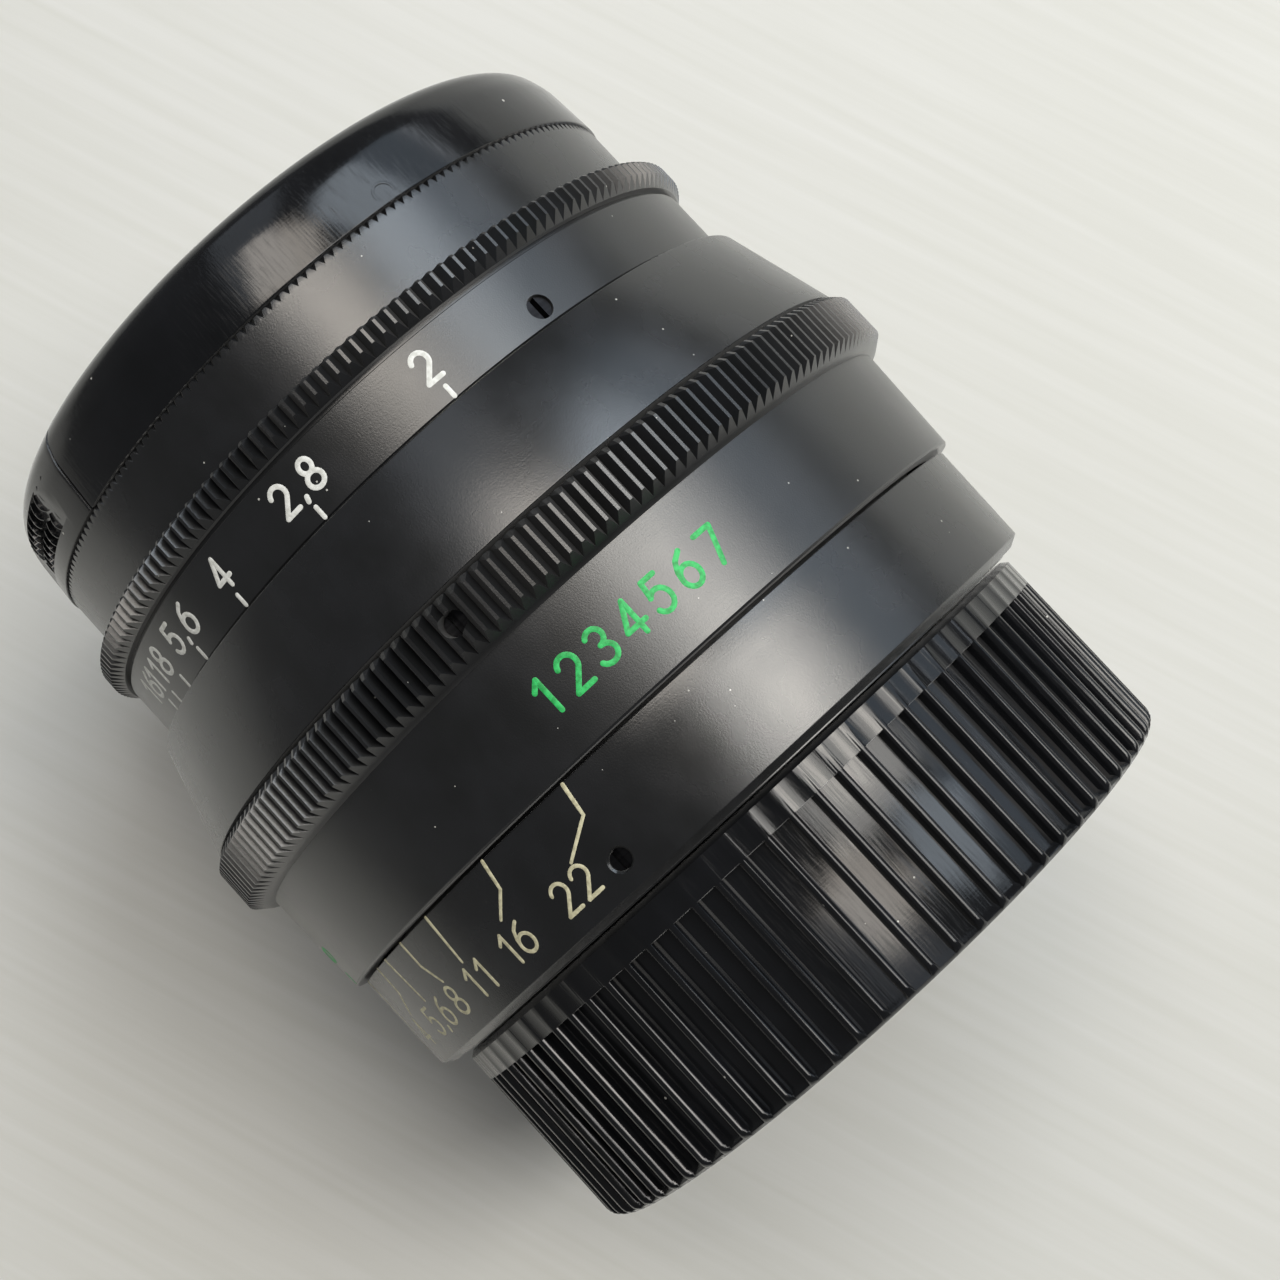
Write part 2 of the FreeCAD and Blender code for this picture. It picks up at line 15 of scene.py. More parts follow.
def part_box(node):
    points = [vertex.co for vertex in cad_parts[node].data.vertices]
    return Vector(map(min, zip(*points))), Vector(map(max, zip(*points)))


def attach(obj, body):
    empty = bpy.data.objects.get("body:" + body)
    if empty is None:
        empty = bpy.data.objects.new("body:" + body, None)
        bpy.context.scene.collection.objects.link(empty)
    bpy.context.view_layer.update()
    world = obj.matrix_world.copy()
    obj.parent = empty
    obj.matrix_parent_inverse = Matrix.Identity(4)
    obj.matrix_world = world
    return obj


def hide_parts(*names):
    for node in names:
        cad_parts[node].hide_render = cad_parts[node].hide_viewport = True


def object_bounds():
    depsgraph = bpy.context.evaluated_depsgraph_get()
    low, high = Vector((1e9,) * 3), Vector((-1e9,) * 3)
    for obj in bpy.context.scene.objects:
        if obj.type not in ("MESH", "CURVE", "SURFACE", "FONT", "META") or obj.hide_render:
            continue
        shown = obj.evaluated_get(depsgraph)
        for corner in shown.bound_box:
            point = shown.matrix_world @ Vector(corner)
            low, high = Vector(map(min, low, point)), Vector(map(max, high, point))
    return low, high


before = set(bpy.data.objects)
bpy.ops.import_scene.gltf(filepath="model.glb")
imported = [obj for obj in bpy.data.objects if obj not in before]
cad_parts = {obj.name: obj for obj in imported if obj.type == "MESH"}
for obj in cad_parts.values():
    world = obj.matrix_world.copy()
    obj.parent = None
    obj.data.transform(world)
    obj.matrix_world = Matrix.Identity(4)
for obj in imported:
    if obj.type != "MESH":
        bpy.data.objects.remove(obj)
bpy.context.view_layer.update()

# %% [markdown]
# ## Units and places
#
# Camera makers draw in millimetres, and Blender works in metres, so MM turns one into the
# other. Every ring is round about the X axis, so a place is given as x along the axis,
# r outwards and an angle, counted from the top of the lens towards -Y.

# %% Places on the lens
MM = 0.001


def on_lens(x, r, angle):
    """Point in metres for x and r in mm and an angle in degrees."""
    a = math.radians(angle)
    return Vector((x * MM, -r * math.sin(a) * MM, r * math.cos(a) * MM))


def span(node):
    """Front x, rear x and radius of a CAD ring, in mm."""
    low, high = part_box(node)
    return low[0] / MM, high[0] / MM, max(high[2], high[1], -low[1], -low[2]) / MM


def middle_x(node):
    """Middle of a CAD part along the axis, in mm."""
    low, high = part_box(node)
    return (low.x + high.x) / 2 / MM


for ring in ("cap_shell", "front_bezel", "aperture_ring", "index_sleeve", "focus_grip",
             "depth_scale_ring", "rear_cap"):
    print(ring, "x %.2f to %.2f mm, radius %.2f mm" % span(ring))

# %% [markdown]
# ## Colour and nodes
#
# Colours are picked as sRGB hex values, as on a screen, and shaders want them linear, so
# one function does the change. A second small function adds any shader node with its
# settings and links, which keeps the material cells short.

# %% Colour and node helpers


def colour(hex_value):
    """Linear RGBA of an sRGB hex colour such as "1b1c1e"."""
    parts = [int(hex_value[i:i + 2], 16) / 255 for i in (0, 2, 4)]
    return [c / 12.92 if c <= 0.04045 else ((c + 0.055) / 1.055) ** 2.4 for c in parts] + [1.0]


def add(tree, kind, links=None, **settings):
    """Add a node; settings name its properties or inputs, links name inputs to join."""
    node = tree.nodes.new(kind)
    for key, value in settings.items():
        if hasattr(node, key):
            setattr(node, key, value)
    for key, value in settings.items():
        if not hasattr(node, key):
            node.inputs[key.replace("_", " ")].default_value = value
    for key, source in (links or {}).items():
        tree.links.new(source, node.inputs[key])
    return node


def start_material(name, base, metallic=0.0, roughness=0.4, **sockets):
    """New material with its shader's plain values set."""
    mat = bpy.data.materials.new(name)
    mat.use_nodes = True
    shader = mat.node_tree.nodes["Principled BSDF"]
    shader.inputs["Base Color"].default_value = colour(base)
    shader.inputs["Metallic"].default_value = metallic
    shader.inputs["Roughness"].default_value = roughness
    for key, value in sockets.items():
        shader.inputs[key.replace("_", " ")].default_value = value
    mat.diffuse_color = colour(base)
    return mat, mat.node_tree, shader


def ramp(tree, source, low, high, first, last):
    """Colour ramp from first to last between two places."""
    node = add(tree, "ShaderNodeValToRGB", {"Fac": source})
    node.color_ramp.elements[0].position, node.color_ramp.elements[1].position = low, high
    node.color_ramp.elements[0].color, node.color_ramp.elements[1].color = first, last
    return node.outputs["Color"]


def stretched(tree, across, along):
    """Object coordinates scaled so that a pattern repeats per mm across and along the axis."""
    where = add(tree, "ShaderNodeTexCoord").outputs["Object"]
    scaled = add(tree, "ShaderNodeMapping", {"Vector": where})
    scaled.inputs["Scale"].default_value = (along / MM, across / MM, across / MM)
    return scaled.outputs["Vector"]


def noise(tree, across, along, detail=3.0):
    """Cloudy noise from 0 to 1 with this many blobs per mm across and along the axis."""
    return add(tree, "ShaderNodeTexNoise", {"Vector": stretched(tree, across, along)},
               Scale=1.0, Detail=detail).outputs["Fac"]


def blend(tree, first, second, share):
    """Mix of two patterns, with this share of the second."""
    node = add(tree, "ShaderNodeMix", {2: first, 3: second}, data_type="FLOAT")
    node.inputs[0].default_value = share
    return node.outputs[0]


def vary_roughness(tree, shader, pattern, low, high, pattern_low=0.0, pattern_high=1.0):
    """Let a pattern move the shader's roughness from low to high."""
    node = add(tree, "ShaderNodeMapRange", {"Value": pattern}, From_Min=pattern_low,
               From_Max=pattern_high, To_Min=low, To_Max=high)
    tree.links.new(node.outputs["Result"], shader.inputs["Roughness"])


def bump(tree, shader, height, distance_mm, strength):
    """Join a height pattern to the shader's normal."""
    node = add(tree, "ShaderNodeBump", {"Height": height}, Strength=strength, Distance=distance_mm * MM)
    tree.links.new(node.outputs["Normal"], shader.inputs["Normal"])


# %% [markdown]
# ## Black anodised aluminium
#
# The barrel rings are turned aluminium, bead-blasted and anodised black. The skin is a thin
# dark oxide with the index of sapphire, 1.77: almost black from the front, with a soft grey
# sheen where it faces a window. A trace of dust lifts the edges that are seen at a slant.
# Fine grit breaks up the sheen, faint tool lines run round the axis, and a few light dust
# specks sit on it.

# %% Anodised aluminium


def dust(tree, shader, base_link, amount, cell_mm=0.9):
    """Sparse light specks, each a few hundredths of a millimetre across."""
    where = stretched(tree, 1 / cell_mm, 1 / cell_mm)
    cells = add(tree, "ShaderNodeTexVoronoi", {"Vector": where}, Scale=1.0, Randomness=1.0)
    rare = add(tree, "ShaderNodeSeparateColor", {"Color": cells.outputs["Color"]})
    chosen = add(tree, "ShaderNodeMath", {0: rare.outputs["Red"]}, operation="GREATER_THAN")
    chosen.inputs[1].default_value = 1.0 - amount
    size = add(tree, "ShaderNodeMath", {0: rare.outputs["Green"]}, operation="MULTIPLY")
    size.inputs[1].default_value = 0.085
    near = add(tree, "ShaderNodeMath", {0: cells.outputs["Distance"], 1: size.outputs[0]},
               operation="LESS_THAN")
    both = add(tree, "ShaderNodeMath", {0: chosen.outputs[0], 1: near.outputs[0]}, operation="MULTIPLY")
    mix = add(tree, "ShaderNodeMix", {"Factor": both.outputs[0], 6: base_link}, data_type="RGBA")
    mix.inputs[7].default_value = colour("b9b8b2")
    tree.links.new(mix.outputs[2], shader.inputs["Base Color"])


def anodised_black(name, base, sheen, roughness, specks):
    """Black oxide skin; sheen is its lighter tone, specks the share of cells that hold dust."""
    mat, tree, shader = start_material(name, base, 0.0, roughness, IOR=1.77, Sheen_Weight=0.16,
                                       Sheen_Roughness=0.4)
    blotch = noise(tree, 0.3, 0.22)
    base_link = ramp(tree, blotch, 0.35, 0.7, colour(base), colour(sheen))
    grit, tool_lines = noise(tree, 9.0, 9.0, 2.0), noise(tree, 0.25, 7.0, 2.0)
    bump(tree, shader, blend(tree, grit, tool_lines, 0.3), 0.016, 0.6)
    vary_roughness(tree, shader, blotch, roughness - 0.06, roughness + 0.06)
    dust(tree, shader, base_link, specks)
    return mat


barrel_black = anodised_black("Anodised aluminium, satin black", "090a0b", "121316", 0.27, 0.2)
knurl_black = anodised_black("Anodised aluminium, knurled black", "090a0b", "121316", 0.31, 0.15)
inner_black = anodised_black("Anodised aluminium, matte black inside", "08080a", "0c0c0e", 0.6, 0.0)
print("anodised finishes ready")

# %% [markdown]
# ## Moulded cap plastic
#
# Both caps are injection-moulded ABS, black all through and glossy from the mould's polish.
# Handling leaves hair scratches about 0.05 mm wide. They show only where the cap mirrors a
# light, so they belong in the bump and the roughness, not in the colour.

# %% Cap plastic


def moulded_plastic(name, base, roughness, scratch, specks):
    """Glossy plastic with hair scratches of the given strength."""
    mat, tree, shader = start_material(name, base, 0.0, roughness, Sheen_Weight=0.25, Sheen_Roughness=0.35)
    base_link = ramp(tree, noise(tree, 0.2, 0.2), 0.3, 0.7, colour(base), colour("111215"))
    hair, cross = noise(tree, 0.5, 11.0), noise(tree, 8.0, 0.45)
    bump(tree, shader, blend(tree, hair, cross, 0.7), 0.008, scratch)
    vary_roughness(tree, shader, cross, roughness, roughness + 0.18, 0.45, 0.8)
    dust(tree, shader, base_link, specks, 1.3)
    return mat


front_cap_plastic = moulded_plastic("ABS, gloss black, scratched", "08090b", 0.12, 0.8, 0.2)
rear_cap_plastic = moulded_plastic("ABS, gloss black, ribbed", "08090b", 0.12, 0.9, 0.15)
print("cap finishes ready")

# %% [markdown]
# ## Metals, glass and paint
#
# The small parts keep the true colours of their stock: turned brass for the helicoid, steel
# blackened in oil for the screws, blued spring steel for the iris, bare aluminium for the
# mount thread. The figures are enamel, so they are dull and slightly uneven.

# %% Small metals


def turned_metal(name, base, other, roughness, per_mm=6.0):
    """Bare metal with tool lines round the axis, per_mm of them to the millimetre."""
    mat, tree, shader = start_material(name, base, 1.0, roughness)
    lines = noise(tree, 0.3, per_mm)
    tree.links.new(ramp(tree, lines, 0.3, 0.7, colour(base), colour(other)), shader.inputs["Base Color"])
    bump(tree, shader, lines, 0.006, 0.4)
    vary_roughness(tree, shader, lines, roughness - 0.08, roughness + 0.1)
    return mat


brass = turned_metal("Brass, turned and greased", "b9935a", "a07b43", 0.3)
steel = turned_metal("Steel, oil-blackened", "303032", "202022", 0.38)
bare_aluminium = turned_metal("Aluminium, turned bare", "b9bab9", "a2a3a3", 0.28)
blade_steel = turned_metal("Spring steel, blued", "1d1f24", "14161a", 0.4, 4.0)
print("metals ready")

# %% Enamel and glass


def enamel(name, base, worn):
    """Dull paint that turns to the worn colour in patches."""
    mat, tree, shader = start_material(name, base, 0.0, 0.55)
    patch = noise(tree, 3.0, 3.0)
    tree.links.new(ramp(tree, patch, 0.35, 0.6, colour(worn), colour(base)), shader.inputs["Base Color"])
    bump(tree, shader, patch, 0.02, 0.5)
    return mat


white_enamel = enamel("Enamel, white", "e9eae6", "cfd0ca")
cream_enamel = enamel("Enamel, aged cream", "dcd7b6", "b5b092")
green_enamel = enamel("Enamel, signal green", "35c768", "229a4b")

glass, glass_tree, glass_shader = start_material(
    "Optical glass, single coated", "f4f2fa", 0.0, 0.02, Transmission_Weight=1.0, IOR=1.62,
    Coat_Weight=0.4, Coat_Roughness=0.03, Coat_Tint=colour("e6e0ff"))
film = noise(glass_tree, 0.15, 0.15, 2.0)
film_tint = ramp(glass_tree, film, 0.3, 0.7, colour("f6f5fa"), colour("f0eef8"))
glass_tree.links.new(film_tint, glass_shader.inputs["Base Color"])
print("enamel and glass ready")

# %% [markdown]
# ## Turning a ring
#
# A lathe makes most of a lens, so one helper does the same: it takes a closed outline of
# (x, r) points in mm, rounds the named corners, and sweeps it round the axis in fine steps.
# The Screw modifier could do this too, but mesh code keeps the seam closed and every face
# pointing outwards.

# %% The lathe


def rounded(outline, radius):
    """Outline with each convex or concave corner softened by up to radius mm."""
    out, count = [], len(outline)
    for i, point in enumerate(outline):
        here, before = Vector(point[:2]), Vector(outline[i - 1][:2])
        after = Vector(outline[(i + 1) % count][:2])
        r = point[2] if len(point) > 2 else radius
        a, b = before - here, after - here
        cut = min(r, a.length * 0.45, b.length * 0.45)
        if cut < 0.004 or a.angle(b, 0.0) > math.radians(172):
            out.append(here)
            continue
        p, q = here + a.normalized() * cut, here + b.normalized() * cut
        for t in (0.0, 0.33, 0.67, 1.0):
            out.append(p.lerp(here, t).lerp(here.lerp(q, t), t))
    return out


def join_loops(bm, loops):
    """Faces between each closed loop of vertices and the next."""
    for one, two in zip(loops, loops[1:]):
        for i in range(len(one)):
            j = (i + 1) % len(one)
            bm.faces.new((one[i], one[j], two[j], two[i]))


def mesh_from(bm, name, point_outwards=True):
    """Plain mesh of a finished bmesh, its faces turned outwards."""
    if point_outwards:
        bmesh.ops.recalc_face_normals(bm, faces=bm.faces)
    mesh = bpy.data.meshes.new(name)
    bm.to_mesh(mesh)
    bm.free()
    return mesh


def finish_mesh(name, mesh, material, sharp=32.0):
    """Smooth-shaded piece with hard edges above the sharp angle."""
    mesh.materials.clear()
    mesh.materials.append(material)
    mesh.shade_smooth()
    mesh.set_sharp_from_angle(angle=math.radians(sharp))
    piece = bpy.data.objects.new(name, mesh)
    bpy.context.scene.collection.objects.link(piece)
    return piece


def turned(name, outline, material, round_mm=0.06, steps=256, sharp=12.0):
    """Closed ring or disc swept round the axis from an (x, r) outline in mm."""
    points, bm, rings = rounded(outline, round_mm), bmesh.new(), []
    for k in range(steps):
        angle = 360.0 * k / steps
        rings.append([bm.verts.new(on_lens(p.x, max(p.y, 0.0), angle)) for p in points])
    for k in range(steps):
        one, two = rings[k], rings[(k + 1) % steps]
        for i in range(len(points)):
            j = (i + 1) % len(points)
            if points[i].y > 1e-6 or points[j].y > 1e-6:
                bm.faces.new((one[i], one[j], two[j], two[i]))
    bmesh.ops.remove_doubles(bm, verts=bm.verts, dist=1e-7)
    bmesh.ops.dissolve_degenerate(bm, edges=bm.edges, dist=1e-7)
    return finish_mesh(name, mesh_from(bm, name), material, sharp)


print("lathe ready")

# %% [markdown]
# ## Spinning copies with Geometry Nodes
#
# A knurl or a row of ribs is one tooth repeated round the axis. The tooth is a small strip
# of mesh, one pitch wide, that holds the ring's whole section. A Geometry Nodes tree makes
# Count copies, turns each one by Step angle more than the last, and merges the seams. With a
# step of 360 / Count the result is one closed ring, and a new strip makes another knurl.

# %% The spin tree
spin = bpy.data.node_groups.new("Spin copies about the optical axis", "GeometryNodeTree")
spin.interface.new_socket("Geometry", in_out="INPUT", socket_type="NodeSocketGeometry")
count_in = spin.interface.new_socket("Count", in_out="INPUT", socket_type="NodeSocketInt")
start_in = spin.interface.new_socket("Start angle", in_out="INPUT", socket_type="NodeSocketFloat")
step_in = spin.interface.new_socket("Step angle", in_out="INPUT", socket_type="NodeSocketFloat")
weld_in = spin.interface.new_socket("Weld distance", in_out="INPUT", socket_type="NodeSocketFloat")
finish_in = spin.interface.new_socket("Finish", in_out="INPUT", socket_type="NodeSocketMaterial")
spin.interface.new_socket("Geometry", in_out="OUTPUT", socket_type="NodeSocketGeometry")
given = add(spin, "NodeGroupInput")
places = add(spin, "GeometryNodeMeshLine", {"Count": given.outputs["Count"]})
places.inputs["Offset"].default_value = (0, 0, 0)
number = add(spin, "GeometryNodeInputIndex")
angle_node = add(spin, "ShaderNodeMath", {0: number.outputs[0], 1: given.outputs["Step angle"],
                                          2: given.outputs["Start angle"]}, operation="MULTIPLY_ADD")
euler = add(spin, "ShaderNodeCombineXYZ", {"X": angle_node.outputs[0]})
copies = add(spin, "GeometryNodeInstanceOnPoints",
             {"Points": places.outputs[0], "Instance": given.outputs["Geometry"],
              "Rotation": euler.outputs[0]})
real = add(spin, "GeometryNodeRealizeInstances", {0: copies.outputs[0]})
weld = add(spin, "GeometryNodeMergeByDistance",
           {"Geometry": real.outputs[0], "Distance": given.outputs["Weld distance"]})
painted = add(spin, "GeometryNodeSetMaterial",
              {"Geometry": weld.outputs[0], "Material": given.outputs["Finish"]})
add(spin, "NodeGroupOutput", {"Geometry": painted.outputs[0]})


def spun(name, strip, count, material, start=0.0, step=0.0, weld_mm=0.002, sharp=25.0):
    """Plain mesh piece made by running the spin tree on a strip; step 0 means a full ring."""
    holder = bpy.data.objects.new(name + "_strip", strip)
    bpy.context.scene.collection.objects.link(holder)
    modifier = holder.modifiers.new("Spin", "NODES")
    modifier.node_group = spin
    modifier[count_in.identifier] = count
    modifier[start_in.identifier] = math.radians(start)
    modifier[step_in.identifier] = math.radians(step or 360.0 / count)
    modifier[weld_in.identifier] = weld_mm * MM
    modifier[finish_in.identifier] = material
    ready = holder.evaluated_get(bpy.context.evaluated_depsgraph_get())
    mesh = bpy.data.meshes.new_from_object(ready)
    mesh.name = name
    bpy.data.objects.remove(holder)
    bm = bmesh.new()
    bm.from_mesh(mesh)
    bmesh.ops.recalc_face_normals(bm, faces=bm.faces)
    bm.to_mesh(mesh)
    bm.free()
    piece = finish_mesh(name, mesh, material, sharp)
    print(name, "has", len(mesh.polygons), "faces from", count, "copies")
    return piece


# %% [markdown]
# ## Holes for the small screws
#
# Grub screws sit a little below the surface in drilled holes. A round cutter and a Boolean
# modifier drill them, and the result is turned into a plain mesh.

# %% The drill


def round_bar(bm, low, high, radius, top_radius):
    """Round bar from one point to another, in metres, with its radii in mm."""
    turn_to = (high - low).to_track_quat("Z", "Y").to_matrix().to_4x4()
    made = bmesh.ops.create_cone(bm, cap_ends=True, segments=36, radius1=radius * MM,
                                 radius2=top_radius * MM, depth=(high - low).length)
    bmesh.ops.transform(bm, matrix=Matrix.Translation((low + high) / 2) @ turn_to, verts=made["verts"])


def applied(piece):
    """Turn the piece's modifiers into plain mesh."""
    mesh = bpy.data.meshes.new_from_object(piece.evaluated_get(bpy.context.evaluated_depsgraph_get()))
    mesh.name = piece.data.name
    piece.modifiers.clear()
    old, piece.data = piece.data, mesh
    bpy.data.meshes.remove(old)
    return mesh


def combined(piece, bm, operation, sharp=28.0):
    """Join, cut or keep the shape in bm with the exact Boolean. This uses bm up."""
    other = bpy.data.objects.new("cutter", mesh_from(bm, "cutter", False))
    bpy.context.scene.collection.objects.link(other)
    step = piece.modifiers.new("Cut", "BOOLEAN")
    step.object, step.operation, step.solver = other, operation, "EXACT"
    mesh = applied(piece)
    bpy.data.objects.remove(other)
    mesh.set_sharp_from_angle(angle=math.radians(sharp))


def drilled(piece, holes, sharp=25.0):
    """Cut round holes, each (x, angle, radius, radius from, radius to, top radius if it is a
    countersink) in mm and degrees."""
    bm = bmesh.new()
    for x, angle, radius, r0, r1, *top in holes:
        round_bar(bm, on_lens(x, r0, angle), on_lens(x, r1, angle), radius, top[0] if top else radius)
    combined(piece, bm, "DIFFERENCE", sharp)


print("drill ready")

# %% [markdown]
# ## Toothed rings
#
# A knurling cutter leaves V grooves between flat-topped teeth, and a chamfer then cuts each
# tooth end to a small triangle. A ribbed moulding works the same way with a wide valley floor.
# So one pitch needs two outlines with the same number of points, one along the valley and one
# along the crest, and a profile across the tooth that says how high it stands at each place.
# Where both outlines share a point, the faces between them close to a triangle.

# %% One pitch of a toothed ring


def toothed_strip(name, valley, crest, count, profile):
    """Strip one pitch wide. The profile lists (part of the pitch from the middle, height) from
    crest to valley, with height 1 on the crest outline and 0 on the valley outline."""
    pitch = 360.0 / count
    columns = [(-0.5, 0.0)] + [(-share, h) for share, h in reversed(profile)] + profile + [(0.5, 0.0)]
    angles = [pitch * share for share, h in columns]
    outlines = [[(vx + (cx - vx) * h, vr + (cr - vr) * h) for (vx, vr), (cx, cr) in zip(valley, crest)]
                for share, h in columns]
    bm = bmesh.new()
    join_loops(bm, [[bm.verts.new(on_lens(x, r, a)) for x, r in line] for a, line in zip(angles, outlines)])
    bmesh.ops.remove_doubles(bm, verts=bm.verts, dist=1e-8)
    bmesh.ops.dissolve_degenerate(bm, edges=bm.edges, dist=1e-8)
    return mesh_from(bm, name, False)


print("toothed strip ready")

# %% [markdown]
# ## The focusing ring
#
# The knurled band stands about 1.7 mm above the smooth skirt. Its front edge is chamfered at
# 45 degrees and its rear edge runs down a flank to the skirt. The skirt narrows by 0.3 mm
# towards the mount, which is what makes its reflection lean.

# %% Focusing ring
front, rear, crest_r = span("focus_grip")
bore_r = crest_r - 3.9
root_r, knurl_end, teeth = crest_r - 0.85, front + 4.15, 198
skirt = [(knurl_end + 0.18, crest_r - 1.2), (knurl_end + 0.3, crest_r - 1.62), (rear - 0.15, crest_r - 1.9),
         (rear, crest_r - 2.02), (rear, bore_r + 0.1), (rear - 0.1, bore_r), (front + 9.0, bore_r),
         (front + 9.0, bore_r - 3.0), (front + 7.0, bore_r - 3.0), (front + 7.0, bore_r), (front, bore_r)]
focus_strip = toothed_strip(
    "focus_pitch",
    [(front, root_r), (front, root_r), (knurl_end, root_r), (knurl_end, root_r)] + skirt,
    [(front, crest_r - 0.45), (front + 0.45, crest_r), (front + 3.5, crest_r), (knurl_end, root_r)] + skirt,
    teeth, [(0.12, 1.0)])
focus_ring = spun("focus_ring_skin", focus_strip, teeth, knurl_black)
screw_x = middle_x("grip_screw_1")
drilled(focus_ring, [(screw_x, 9.7 + 120 * k, 0.84, bore_r + 0.4, crest_r + 1) for k in range(3)])
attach(focus_ring, "focus_ring")
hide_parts("focus_grip")
print("focusing ring: crest radius %.2f mm, %d teeth" % (crest_r, teeth))

# %% [markdown]
# ## The aperture ring
#
# A narrow knurl at the front, a groove, then a plain band for the figures. Its 184 teeth are
# a little finer than the focusing ring's, so that a finger can tell the two rings apart.

# %% Aperture ring
front, rear, crest_r = span("aperture_ring")
figure_r, bore_r = crest_r - 0.9, crest_r - 2.79
root_r, slope_x, teeth = crest_r - 0.7, rear - 5.15, 184
band = [(slope_x, figure_r - 0.35), (rear - 4.8, figure_r - 0.35), (rear - 4.8, figure_r - 0.06),
        (rear - 4.74, figure_r), (rear - 0.1, figure_r), (rear, figure_r - 0.1), (rear, bore_r),
        (front, bore_r)]
aperture_strip = toothed_strip(
    "aperture_pitch",
    [(front, root_r), (front, root_r), (slope_x, root_r), (slope_x, root_r)] + band,
    [(front, crest_r - 0.25), (front + 0.25, crest_r), (slope_x - 0.7, crest_r), (slope_x, root_r)] + band,
    teeth, [(0.11, 1.0)])
aperture_skin = spun("aperture_ring_skin", aperture_strip, teeth, knurl_black)
drilled(aperture_skin, [(middle_x("drive_screw"), -27.0, 0.89, bore_r - 1, crest_r + 1)])
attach(aperture_skin, "aperture_ring")
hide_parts("aperture_ring")
print("aperture ring: crest radius %.2f mm, %d teeth" % (crest_r, teeth))

# %% [markdown]
# ## The front bezel and its filter thread
#
# The bezel's front rim has a fine serration to grip it by when it is unscrewed. Inside is a
# 49 mm filter thread, 0.75 mm pitch. A thread is a wave along the axis that moves on by one
# pitch in each turn, so a grid whose radius follows that wave closes on itself.

# %% Front bezel and threads


def thread(name, x0, x1, r, depth, pitch, wall, material, inside=False, steps=120):
    """Closed threaded tube: waves of the given depth on its outer or inner face."""
    bm, rows, cells = bmesh.new(), [], int((x1 - x0) / pitch * 8)
    for k in range(steps):
        row = []
        for i in range(cells + 1):
            x = x0 + (x1 - x0) * i / cells
            wave = abs(((x / pitch - k / steps) % 1.0) * 2 - 1)
            fade = min(1.0, (x - x0) / pitch, (x1 - x) / pitch)
            row.append((x, r + depth * wave * fade * (-1 if inside else 1) - (0 if inside else depth)))
        back = r + wall if inside else r - wall
        row += [(x1, back), (x0, back)]
        rows.append([bm.verts.new(on_lens(x, q, 360.0 * k / steps)) for x, q in row])
    join_loops(bm, rows + rows[:1])
    return finish_mesh(name, mesh_from(bm, name), material, 28.0)


front, rear, outer = span("front_bezel")
body_r, teeth = outer - 0.1, 220
inner_steps = [(rear - 1.5, body_r - 0.1), (rear - 1.5, body_r - 2.4), (rear, body_r - 2.4), (rear, 18.5),
               (front + 3.7, 18.5), (front + 3.7, body_r - 1.75), (front + 3.0, body_r - 1.75),
               (front + 3.0, body_r - 1.25), (front, body_r - 1.25)]
plain_rim = [(front + 0.52, body_r), (front + 0.6, body_r), (rear - 1.6, body_r)] + inner_steps
bezel_strip = toothed_strip(
    "bezel_pitch",
    [(front, body_r - 0.28), (front + 0.5, body_r - 0.03)] + plain_rim,
    [(front, body_r - 0.04), (front + 0.1, body_r)] + plain_rim,
    teeth, [(0.2, 1.0)])
bezel = spun("front_bezel_skin", bezel_strip, teeth, barrel_black)
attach(bezel, "lens_head")
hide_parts("front_bezel")
filter_thread = thread("filter_thread_turns", front + 0.3, front + 2.9, body_r - 1.25, 0.4, 0.75, 0.2,
                       inner_black, inside=True)
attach(filter_thread, "lens_head")
print("bezel: radius %.2f mm, %d serrations" % (outer, teeth))

# %% [markdown]
# ## The plain rings
#
# The index cone widens towards the rear by 2.25 mm in radius. The depth-of-field ring is almost a
# cylinder, with a small step down at its rear edge and three screw holes.

# %% Index cone and depth-of-field ring
front, rear, tail_r = span("index_sleeve")
cone_rear = span("focus_grip")[0] - 0.3
tube_r = tail_r - 3.45
cone = turned("index_cone_skin", [
    (front, 24.9, 0.02), (front, tail_r - 2.25, 0.12), (cone_rear, tail_r, 0.12), (cone_rear, tube_r, 0.02),
    (rear, tube_r), (rear, tube_r - 0.8), (front + 3.0, tube_r - 0.8), (front + 3.0, 24.9)], barrel_black)
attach(cone, "lens_head")
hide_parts("index_sleeve")

front, rear, scale_r = span("depth_scale_ring")
scale_ring = turned("depth_ring_skin", [
    (front, scale_r - 1.9), (front, scale_r, 0.1), (front + 2.0, scale_r - 0.035, 0.0),
    (front + 4.0, scale_r - 0.07, 0.0),
    (rear - 0.5, scale_r - 0.15, 0.08), (rear, scale_r - 1.0, 0.08), (rear, scale_r - 1.9)], barrel_black)
screw_x = middle_x("scale_screw_1")
turns = [15.3 + 120 * k for k in range(3)]
drilled(scale_ring, [(screw_x, a, 0.74, scale_r - 2.5, scale_r + 1) for a in turns], 12.0)
drilled(scale_ring, [(screw_x, a, 0.6, scale_r - 0.4, scale_r + 0.2, 1.2) for a in turns], 12.0)
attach(scale_ring, "base")
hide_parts("depth_scale_ring")
print("cone radius %.2f mm, depth ring radius %.2f mm" % (tail_r, scale_r))

# %% [markdown]
# ## The mount
#
# The flange and its 42 mm thread, 1 mm pitch, hide under the rear cap until it comes off. The
# flange is black so that no light bounces about behind the lens; the thread is cut bare.

